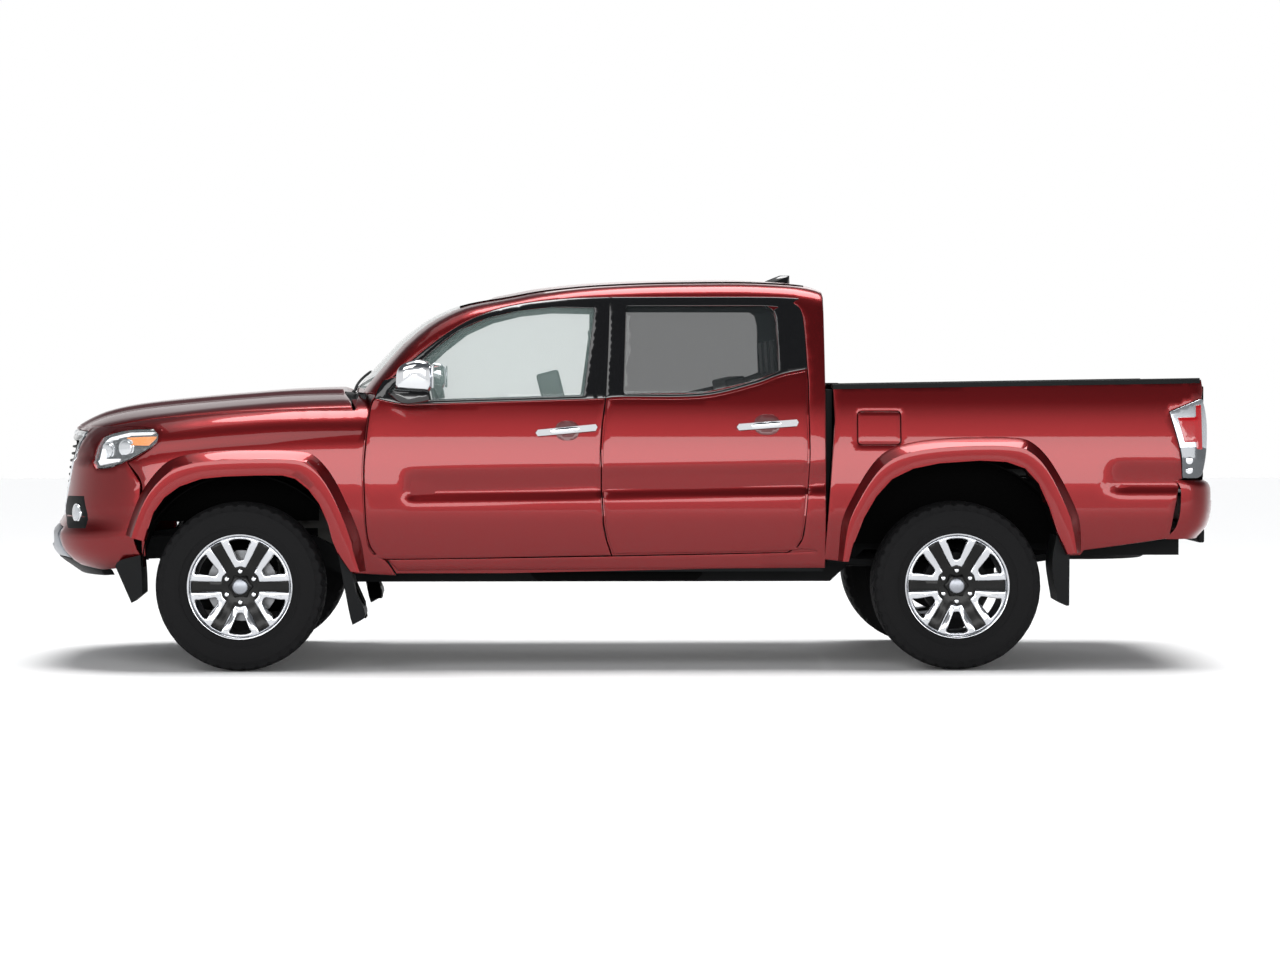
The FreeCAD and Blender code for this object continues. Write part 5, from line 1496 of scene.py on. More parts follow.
@dataclass
class Flare:
    """A wheel arch flare: a flat band with a ridge that slopes back to the skin."""

    name: str
    arch: Sequence[Point2]
    edge: Sequence[Point2]
    axle: float
    skin: Callable[[float, float], float]
    start: float
    end: float

    def build(self) -> bpy.types.Object:
        """Sweeps the flare round its arch.

        Returns:
            The left flare.
        """
        inner, outer = (
            [*rounded(line, closed=False), line[-1]] for line in (self.arch, self.edge)
        )
        centre = (0.0, 470.0)
        profile = ((0.0, -58.0, 0.0), (0.0, -6.0, 0.0), (0.02, -2.0, 0.0), (0.05, 0.5, 0.0),
                   (0.3, 1.2, 0.0), (0.58, 1.2, 0.0), (0.62, 0.6, 0.0), (0.66, -1.5, 0.06),
                   (0.83, 0.0, 0.55), (0.97, 0.0, 0.93), (1.0, 0.0, 1.06))
        points: list[Vector] = []
        rows = 96
        kept = 0
        for k in range(rows + 1):
            turn = math.radians(self.start + (self.end - self.start) * k / rows)
            near, far = ray_radius(inner, centre, turn), ray_radius(outer, centre, turn)
            if near is None or far is None:
                continue
            kept += 1
            for share, rise, blend in profile:
                reach = near + (far - near) * share
                x = self.axle + centre[0] + reach * math.cos(turn)
                z = centre[1] + reach * math.sin(turn)
                skin = self.skin(x, z)
                y = (FLARE_HALF + rise) * (1 - blend) + (skin + 1.5) * blend
                points.append(Vector((x, -y, z)))
        width = len(profile)
        faces = grid_faces(kept, width, around=False) + end_faces(kept, width)
        return shaded_object(self.name, points, faces, 32, OUT_LEFT)


def arch_lip(name: str, arch: Sequence[Point2], axle: float) -> bpy.types.Object:
    """The liner's edge inside a wheel arch, from the flare inwards.

    Args:
        name: The object's name.
        arch: The arch's outline from its axle.
        axle: The axle's place.

    Returns:
        The left lip.
    """
    line = [*rounded(arch, closed=False), arch[-1]]
    sides = (FLARE_HALF - 50, FLARE_HALF - 175)
    points = [Vector((axle + x, -y, z)) for x, z in line for y in sides]
    obj = mesh_object(name, points, grid_faces(len(line), 2, around=False))
    face_outwards(obj, Vector((0, 0, -1)))
    apply_modifier(obj, "SOLIDIFY", thickness=4 * MM)
    smooth_by_angle(obj, 40)
    return obj


HOOD_FRONT = 1099.0


@dataclass
class FrontEnd:
    """Bonnet, fenders with their flares, cowl and wipers."""

    def build(self) -> None:
        """Builds the front end apart from the bumper and lamps."""
        both_sides(side_panel("fender_paint", FENDER, NOSE), PAINT)
        flare = Flare("front_flare", FRONT_ARCH, FRONT_FLARE, FRONT_AXLE, NOSE.half, 186, -4)
        both_sides(flare.build(), PAINT)
        both_sides(arch_lip("front_arch_lip", FRONT_ARCH, FRONT_AXLE), LINER)
        self.hood()
        self.cowl()

    def hood(self) -> None:
        """The bonnet's skin and inner panel."""
        front = self.front_edge()
        side = from_axle(HOOD_SIDE, FRONT_AXLE)
        back = from_axle(((500, -783), (470, -600), (445, -420), (430, -300), (422, -120)),
                         FRONT_AXLE)
        left = [*front, *side, *back]
        outline = rounded(left + [(x, -y) for x, y in reversed(left)])

        def surface(x: float, y: float) -> Vector:
            """The bonnet's surface over the plan view."""
            return Vector((x, y, NOSE.height(x, y)))

        skin = Panel("hood_paint", outline, surface, UP, step=24.0, roll=3.5, lift=2.0).build()
        settle(dress(skin, PAINT), "hood", "hood")
        inner = Panel("hood_inner", offset(outline, -45), surface, UP, step=60.0, roll=4.0,
                      depth=8.0, lift=-22.0).build()
        inner.data.flip_normals()
        settle(dress(inner, TRIM), "hood")

    @staticmethod
    def front_edge() -> Outline:
        """The bonnet's front edge in the plan view, where it meets the grille and lamps.

        Returns:
            Pairs of place along and across the truck.
        """
        return [
            (last_inside(lambda x: NOSE.height(x, y) - HOOD_FRONT, -2640.0, -2100.0) + 1.0, y)
            for y in (-0.1, -120, -240, -360, -460, -550, -620)
        ]

    def cowl(self) -> None:
        """The black grid under the windscreen and its two wipers."""
        left = from_axle(((426, -0.1), (434, -260), (474, -590), (492, -660)), FRONT_AXLE)
        whole = left + [(x, -y) for x, y in reversed(left)]
        panel = Panel("cowl_grid", whole, lambda x, y: Vector((x, y, NOSE.height(x, y) - 24)), UP,
                      step=30.0, lift=0.0).build()
        settle(dress(panel, TRIM), "chassis", "cowl_panel")
        for number, (y0, y1) in enumerate(((-470, 120), (60, 560))):
            path = []
            for k in range(21):
                y, z = y0 + (y1 - y0) * k / 20, 1255 + (1352 - 1255) * k / 20
                path.append(Vector((screen_place(y, z)[0] - 9, y, z + 2)))
            wiper = strip(f"wiper_{number + 1}", path, ((-5, -4), (5, -4), (4, 5), (-4, 5)),
                          [UP] * len(path), FORWARD)
            settle(dress(wiper, TRIM), "chassis")


@dataclass
class LoadBed:
    """Bed sides with their flares, rails, tailgate, fuel flap and floor ribs."""

    gate_inset: float = 78.0

    def build(self) -> None:
        """Builds the load bed's pieces."""
        left = side_panel("bed_paint_left", BED_SIDE, None, [FUEL_FLAP], step=26.0)
        right = side_panel("bed_paint_right", BED_SIDE, None, step=26.0)
        right.data.transform(Matrix.Diagonal((1, -1, 1, 1)))
        right.data.flip_normals()
        settle(dress(left, PAINT), "chassis")
        settle(dress(right, PAINT), "chassis")
        flap = side_panel("fuel_flap_paint", round_corners(offset(FUEL_FLAP, -2.5), 20), None,
                          step=24.0, depth=7.0)
        settle(dress(flap, PAINT), "fuel_flap", "fuel_flap")
        flare = Flare("rear_flare", REAR_ARCH, REAR_FLARE, REAR_AXLE, side_half, 181, -1)
        both_sides(flare.build(), PAINT)
        both_sides(arch_lip("rear_arch_lip", REAR_ARCH, REAR_AXLE), LINER)
        self.rails()
        self.tailgate()
        self.ribs()
        ends = [box("house_end", (REAR_AXLE + x, -798, 866), (REAR_AXLE + x + 245, -794, 1020), 0)
                for x in (-570, 325)]
        both_sides(joined("wheel_house_ends", ends), LINER)

    def rails(self) -> None:
        """Black caps along the bed's rails."""
        path = []
        for k in range(31):
            x, z = 917 + (2588 - 917) * k / 30, 1287 + 27 * k / 30
            path.append(Vector((x, -side_half(x, z) + 48, z)))
        cap = strip("rail_cap", path, ((-56, -16), (-56, 4), (-50, 8), (44, 8), (50, 4), (50, -8)),
                    [-OUT_LEFT] * len(path), UP)
        both_sides(cap, TRIM)
        front = box("rail_cap_front", (914, -700, 1284), (956, 700, 1300), 5)
        settle(dress(front, TRIM), "chassis")
        both_sides(box("lamp_backing", (2440, -790, 868), (2614, -768, 1284), 4), LINER)

    def tailgate(self) -> None:
        """The tailgate's pressed skin with its handle."""
        back = TAIL - self.gate_inset
        outline = round_corners([(-750, 810), (750, 810), (750, 1292), (-750, 1292)], 16)

        def face(y: float, z: float) -> Vector:
            """The tailgate's outer face: an upper roll, a flat and a lower step.

            Args:
                y: Place across the truck.
                z: Height above ground.

            Returns:
                The point of the face.
            """
            x = back - 18 * ramp(1118, 1225, z) + 6 * ramp(1225, 1285, z)
            x -= 4 * (1 - ramp(820, 900, z))
            x -= 7 * (1 - ramp(590, 615, abs(y))) * ramp(905, 925, z) * (1 - ramp(1075, 1095, z))
            return Vector((x, y, z))

        skin = Panel("tailgate_paint", outline, face, BACKWARD, step=20.0, lift=0.0, roll=5.0,
                     depth=50.0).build()
        settle(dress(skin, PAINT), "tailgate", "tailgate")
        for name, ahead, low, high, bevel, finish in (
            ("tailgate_inner", 56, (-748, 812), (back - 22, 748, 1286), 6, LINER),
            ("tailgate_cap", 58, (-748, 1286), (back - 12, 748, 1300), 6, TRIM),
            ("tailgate_handle", 24, (-120, 1150), (back - 2, 120, 1210), 9, CHROME),
        ):
            settle(dress(box(name, (back - ahead, *low), high, bevel), finish), "tailgate")

    def ribs(self) -> None:
        """Ribs along the load floor."""
        ribs = [
            box(f"rib_{k}", (960, y - 22, 864), (2545, y + 22, 873), 5, 2)
            for k, y in enumerate(range(-540, 541, 90))
        ]
        settle(dress(joined("floor_ribs", ribs), LINER), "chassis")


# Lamps, bumpers and grille

def face_panel(name: str, outline: Outline, holes: Sequence[Outline] = (), **settings: float
               ) -> bpy.types.Object:
    """A panel of the front face, drawn as run round it and height.

    Args:
        name: The object's name.
        outline: The panel's outline.
        holes: Openings.
        settings: Other values of the panel.

    Returns:
        The panel.
    """
    return Panel(
        name, outline, NOSE_FACE.point, FORWARD, NOSE_FACE.inward, holes=list(holes), **settings,
    ).build()


def mirrored_outline(outline: Outline) -> Outline:
    """The same outline on the other side of the centre line, reversed."""
    return [(-u, v) for u, v in reversed(outline)]


def whole_outline(left: Outline) -> Outline:
    """An outline over both sides, from its left half."""
    return left + mirrored_outline(left)


def front_runs(points: Sequence[Point2]) -> Outline:
    """An outline drawn in the front view, on the left, as runs and heights."""
    return [(NOSE_FACE.run_at_y(y, z), z) for y, z in points]


def side_runs(points: Sequence[Point2]) -> Outline:
    """An outline drawn in the side view as runs and heights."""
    return [(NOSE_FACE.run_at_x(x, z), z) for x, z in points]


@dataclass
class Nosepiece:
    """The bumper's skin, the grille, the fog lamps and the headlamps."""

    grille_edge: tuple[Point2, ...] = (
        (-1, 1090), (-560, 1078), (-604, 962), (-524, 722), (-470, 688), (-1, 688),
    )

    def build(self) -> None:
        """Builds the nose."""
        lamp = side_runs(rounded(HEADLAMP))
        mouth = self.mouth(0)
        skin = face_panel("front_bumper_paint", self.outline(),
                          [mouth, offset(lamp, 2.5), offset(mirrored_outline(lamp), 2.5)],
                          step=26.0, roll=4.0)
        settle(dress(skin, PAINT), "chassis", "front_bumper")
        self.grille()
        self.headlamp(lamp)
        self.lower_bar()
        self.fog_lamps()

    def mouth(self, grow: float) -> Outline:
        """The grille's opening."""
        whole = whole_outline(front_runs(self.grille_edge))
        return round_corners(offset(whole, grow) if grow else whole, 24)

    @staticmethod
    def outline() -> Outline:
        """The red skin's outline, from the top of the nose down to the air intake's lip.

        Returns:
            Pairs of distance round the nose and height.
        """
        side = side_runs(from_axle((
            (-560, 1100), (-434, 1097), (-398, 1091), (-376, 1068), (-378, 1036), (-404, 1006),
            (-468, 964), (-508, 944), (-446, 852), (-446, 720), (-446, 524), (-470, 470),
        ), FRONT_AXLE))
        top = front_runs(((-1, 1099), (-300, 1099), (-560, 1099)))
        low = front_runs(((-740, 452), (-660, 470), (-600, 640), (-470, 652), (-1, 652)))
        return whole_outline(top + side + low)

    def grille(self) -> None:
        """The black grille: a frame, slats and a mesh behind, with a chrome surround."""
        frame = face_panel("grille_frame", self.mouth(-4), [self.mouth(-46)], step=20.0, roll=8.0,
                           depth=40.0, lift=-2.0)
        back = face_panel("grille_back", self.mouth(-14), step=60.0, roll=2.0, depth=6.0,
                          lift=-52.0)
        pieces = [dress(frame, GLOSS_TRIM), dress(back, TRIM)]
        for z in range(716, 1075, 32):
            wide = self.width_at(z) - 40
            runs = [NOSE_FACE.run_at_y(wide * (k / 12 - 1), z) for k in range(25)]
            path = [NOSE_FACE.point(run, z) + NOSE_FACE.inward(run, z) * 24 for run in runs]
            across = [NOSE_FACE.inward(run, z) for run in runs]
            slat = strip(f"slat_{z}", path, ((-14, -3), (14, -9), (16, -5), (-14, 4)), across, UP)
            pieces.append(dress(slat, TRIM))
        for y in range(-500, 501, 50):
            z0, z1 = self.heights_at(abs(y))
            path = []
            for k in range(13):
                z = z0 + (z1 - z0) * k / 12
                run = NOSE_FACE.run_at_y(y if y else 0.5, z)
                path.append(NOSE_FACE.point(run, z) + NOSE_FACE.inward(run, z) * 34)
            bar = strip(f"upright_{y}", path, ((-3, -9), (3, -9), (3, 9), (-3, 9)),
                        [-OUT_LEFT] * len(path), FORWARD)
            pieces.append(dress(bar, TRIM))
        settle(joined("grille", pieces), "chassis", "grille")
        ring = face_panel("grille_ring", self.mouth(-3), [self.mouth(-22)], step=18.0, roll=5.0,
                          depth=16.0, lift=3.0)
        settle(dress(ring, CHROME), "chassis")

    def width_at(self, z: float) -> float:
        """Half width of the grille's opening at a height.

        Args:
            z: Height above ground.

        Returns:
            The half width there.
        """
        edge = self.grille_edge[1:-1]
        for (y0, z0), (y1, z1) in zip(edge, edge[1:]):
            if z1 <= z <= z0:
                return -(y0 + (y1 - y0) * (z0 - z) / (z0 - z1))
        return 560.0

    def heights_at(self, y: float) -> tuple[float, float]:
        """Lowest and highest height of the grille's opening, a little inside, at a width."""
        heights = [z for z in range(694, 1080, 4) if self.width_at(z) - 34 > y]
        return float(min(heights)), float(max(heights)) - 6

    def headlamp(self, lamp: Outline) -> None:
        """A headlamp: clear cover, dark housing, two projectors, light guides and amber corner.

        Args:
            lamp: Its outline, in distance round the nose and height.
        """
        cover = face_panel("lamp_cover", offset(lamp, -1.0), step=24.0, roll=2.0, depth=10.0,
                           lift=1.0)
        both_sides(cover, LENS)
        housing = face_panel("lamp_housing", offset(lamp, -5.0), step=24.0, roll=8.0, depth=30.0,
                             lift=-34.0)
        dress(housing, GLOSS_TRIM)
        pieces = [housing]
        for x, z, radius in ((-640, 992, 33), (-545, 1006, 33)):
            run = NOSE_FACE.run_at_x(FRONT_AXLE + x, z)
            into = NOSE_FACE.inward(run, z)
            at = NOSE_FACE.point(run, z) + into * 32
            pieces.append(dress(cylinder("lamp_ring", at, into, radius + 8, 20, 40, 3), CHROME))
            bulb = cylinder("lamp_bulb", at - into * 8, into, radius, 16, 40, 7)
            pieces.append(dress(bulb, CHROME))
        for name, finish, points, step, depth, lift in (
            ("lamp_guide", LAMP_WHITE, (
                (-666, 1030), (-650, 1052), (-560, 1074), (-440, 1077), (-440, 1064), (-556, 1060),
                (-636, 1038), (-648, 1024)), 16.0, 16.0, -12.0),
            ("lamp_guide_low", LAMP_WHITE, (
                (-664, 1010), (-646, 1006), (-640, 955), (-560, 957), (-556, 944), (-650, 926),
                (-664, 952)), 16.0, 16.0, -12.0),
            ("lamp_amber", AMBER, (
                (-560, 1052), (-420, 1058), (-408, 1046), (-430, 1016), (-556, 1018)),
             20.0, 12.0, -14.0),
        ):
            area = side_runs(from_axle(points, FRONT_AXLE))
            glowing = face_panel(name, area, step=step, roll=3.0, depth=depth, lift=lift)
            pieces.append(dress(glowing, finish))
        inside = joined("headlamp_inside", pieces)
        both_sides(inside, CHROME, node="headlamp")

    def lower_bar(self) -> None:
        """The silver guard across the lower bumper and the black lip and intake."""
        low = front_runs(((-1, 646), (-466, 646), (-594, 634), (-654, 500), (-600, 506), (-1, 506)))
        hole = front_runs(((-1, 622), (-430, 622), (-520, 606), (-500, 556), (-1, 556)))
        intake = round_corners(whole_outline(hole), 16)
        bar = face_panel("guard_bar", whole_outline(low), [intake], step=24.0, roll=6.0, depth=30.0,
                         lift=3.0)
        settle(dress(bar, ALLOY_BARREL), "chassis")
        behind = face_panel("intake_dark", offset(intake, 6), step=60.0, roll=1.0, depth=4.0,
                            lift=-34.0)
        settle(dress(behind, TRIM), "chassis")
        lip = front_runs(((-1, 503), (-600, 503), (-658, 496), (-736, 450), (-700, 424), (-1, 424)))
        lower = face_panel("bumper_lip", whole_outline(lip), step=26.0, roll=5.0, depth=60.0,
                           lift=1.0)
        settle(dress(lower, TRIM), "chassis")

    def fog_lamps(self) -> None:
        """The black pockets and round fog lamps in the bumper's corners."""
        pocket = side_runs(from_axle((
            (-812, 784), (-716, 788), (-696, 700), (-706, 640), (-800, 636), (-836, 700),
        ), FRONT_AXLE))
        plate = face_panel("fog_pocket", pocket, step=20.0, roll=4.0, depth=4.0, lift=3.0)
        dress(plate, TRIM)
        x, z = FRONT_AXLE - 752, 708
        run = NOSE_FACE.run_at_x(x, z)
        into = NOSE_FACE.inward(run, z)
        at = NOSE_FACE.point(run, z)
        ring = dress(cylinder("fog_ring", at - into * 2, into, 44, 16, 40, 3), CHROME)
        glass = dress(cylinder("fog_glass", at - into * 6, into, 37, 14, 40, 4), LAMP_CLEAR)
        both_sides(joined("fog_lamp", [plate, ring, glass]), TRIM)


@dataclass
class TailEnd:
    """Tail lamps and rear bumper."""

    corner: float = 240.0
    smoked_below: float = 1008.0
    step_half: float = 783.0
    step_height: float = 784.0

    def build(self) -> None:
        """Builds the tail's pieces."""
        pieces = [self.lens("tail_lamp_body", rounded(TAIL_LAMP), 3.0, 30.0)]
        for face in pieces[0].data.polygons:
            face.material_index = 1 if face.center.z / MM < self.smoked_below else 0
        red = self.lens("tail_lamp_red", round_corners(RED_LENS_AREA, 6), 5.0, 6.0)
        pieces.append(dress(red, RED_LENS))
        for z in (948, 904):
            place = (2530, -side_half(2530, z) - 1, z)
            reflector = cylinder("tail_lamp_bulb", place, OUT_LEFT, 17, 5, 32, 2)
            pieces.append(dress(reflector, CHROME))
        both_sides(joined("tail_lamp", pieces), RED_LENS, node="tail_lamp")
        self.bumper()

    @staticmethod
    def lens(name: str, outline: Outline, lift: float, depth: float) -> bpy.types.Object:
        """A panel of the lamp: clear above and smoked below.

        Args:
            name: The object's name.
            outline: Its outline in the side view.
            lift: How far its face stands out of the body side.
            depth: Its thickness.

        Returns:
            The panel.
        """
        panel = Panel(name, outline, side_surface(side_half), OUT_LEFT, step=16.0,
                      roll=3.0, depth=depth, lift=lift).build()
        panel.data.materials.append(LAMP_CLEAR.material())
        panel.data.materials.append(LAMP_SMOKED.material())
        return panel

    def bumper(self) -> None:
        """The rear bumper: painted, wrapped round the corners, with black pads."""
        heights = (592, 600, 612, 630, 650, 685, 720, 760, 800, 822, 834, 846, 853, 858)
        shares = [math.copysign(1 - (1 - abs(k) / 40) ** 1.7, k) for k in range(-40, 41)]
        rows = [[self.bumper_point(v, z) for v in shares] for z in heights]
        rows = [self.turned_in(rows[0], 50, 50), *rows, self.turned_in(rows[-1], 70, 60)]
        skin = shaded_object("rear_bumper", [p for row in rows for p in row],
                             grid_faces(len(rows), len(shares), around=False), 40, BACKWARD)
        settle(dress(skin, PAINT), "chassis", "rear_bumper")
        pads = [
            box("pad", (TAIL - 150, -775, 775), (TAIL - 60, 775, 787), 4),
            box("pad", (TAIL - 62, -300, 775), (TAIL - 12, 300, 787), 4),
            box("pad", (TAIL - 60, -560, 560), (TAIL - 30, 560, 640), 8),
            box("pad", (TAIL - 16, -190, 660), (TAIL - 1.5, 190, 800), 6),
        ]
        settle(dress(joined("bumper_pads", pads), TRIM), "chassis")

    @staticmethod
    def turned_in(row: Sequence[Vector], ahead: float, aside: float) -> list[Vector]:
        """A row moved into the truck: ahead along the back and aside round the corners."""
        back, side = Vector((-ahead, 0, 0)), Vector((0, aside, 0))
        return [p + (back if abs(p.y) < 800 else side * math.copysign(1, -p.y)) for p in row]

    def bumper_point(self, share: float, z: float) -> Vector:
        """A point of the bumper's face, by its share of the half width and height.

        Args:
            share: Share of the half width, from -1 on the left to 1 on the right.
            z: Height above ground.

        Returns:
            The point, in millimetres.
        """
        half = HALF_WIDTH - smooth(SIDE_PROFILE, z)
        away = min(1.0, abs(share))
        inset = 0.0
        if half * away < self.step_half and z > self.step_height:
            inset, z = 0.9 * (z - self.step_height), self.step_height
        bend = min(0.846, 1 - (1 - away ** 4) ** 0.25)
        x = TAIL - 0.8 - smooth(REAR_FACE, z) - self.corner * bend - inset
        return Vector((x, half * share, z))


@dataclass
class Mirrors:
    """Door mirrors: chrome cap, black foot and mirror glass."""

    cap: tuple[Point2, ...] = (
        (-1048, 1272), (-1050, 1294), (-1043, 1356), (-1010, 1388), (-953, 1404), (-905, 1394),
        (-889, 1360), (-887, 1290), (-900, 1262),
    )

    def build(self) -> None:
        """Builds the mirrors."""
        shell = self.shell("mirror_cap", self.cap, 946, 1112, 26)
        dress(shell, CHROME)
        foot = self.shell("mirror_foot", ((-1085, 1254), (-1060, 1274), (-900, 1266), (-892, 1224),
                                          (-940, 1212), (-1022, 1208)), 872, 1100, 14)
        dress(foot, GLOSS_TRIM)
        glass = box("mirror_glass", (-889, -1096, 1276), (-883, -962, 1386), 2)
        dress(glass, ALLOY)
        both_sides(joined("mirror", [shell, foot, glass]), CHROME, "front_door", "mirror")

    @staticmethod
    def shell(name: str, outline: Sequence[Point2], near: float, far: float, round_off: float
              ) -> bpy.types.Object:
        """A rounded block whose outline in the side view is given.

        Args:
            name: The object's name.
            outline: Its outline in the side view.
            near: Its inner side's distance from the centre plane.
            far: Its outer side's distance from the centre plane.
            round_off: How far in its edges are rounded.

        Returns:
            The block on the left side.
        """
        loop = rounded(outline)
        cx = sum(p[0] for p in loop) / len(loop)
        cz = sum(p[1] for p in loop) / len(loop)
        rows = ((near, 0.0), (near, 0.72), (near + round_off * 0.3, 0.93), (near + round_off, 1.0),
                (far - round_off, 0.97), (far - round_off * 0.4, 0.84), (far, 0.5), (far, 0.0))
        points = [Vector((cx + (x - cx) * share, -y, cz + (z - cz) * share))
                  for y, share in rows for x, z in loop]
        obj = mesh_object(name, points, grid_faces(len(rows), len(loop)))
        only(obj)
        bpy.ops.object.mode_set(mode="EDIT")
        bpy.ops.mesh.select_all(action="SELECT")
        bpy.ops.mesh.remove_doubles(threshold=0.0002)
        bpy.ops.object.mode_set(mode="OBJECT")
        face_outwards(obj)
        smooth_by_angle(obj, 60)
        return obj


# Wheels

SPOKE_WINDOW = (
    (119, -13), (150, -25), (190, -41), (205, -52), (213, -28), (215, 0), (213, 28), (205, 52),
    (190, 41), (150, 25), (119, 13),
)
STAR_ARM = ((84, -21), (150, -22), (219, -26), (222, 0), (219, 26), (150, 22), (84, 21))
GROOVES = (-78.0, -27.0, 27.0, 78.0)
TYRE_RADIUS = 382.0
TYRE_HALF = 132.0
SHOULDER_SHARE = 0.74
TREAD_BEAT = 6
SPOKES = 6
SPOKE_PITCH = 60.0
NUT_CIRCLE = 69.85
FACE_HEIGHT = 78.0
CHANNEL_DEPTH = 12.0


def turned_point(radius: float, aside: float, degrees: float) -> Point2:
    """A point given along and across a direction, turned about the hub."""
    c, s = math.cos(math.radians(degrees)), math.sin(math.radians(degrees))
    return (radius * c - aside * s, radius * s + aside * c)


def circle(radius: float, count: int = 96) -> Outline:
    """A circle about the hub."""
    return [(radius * math.cos(math.tau * k / count), radius * math.sin(math.tau * k / count))
            for k in range(count)]


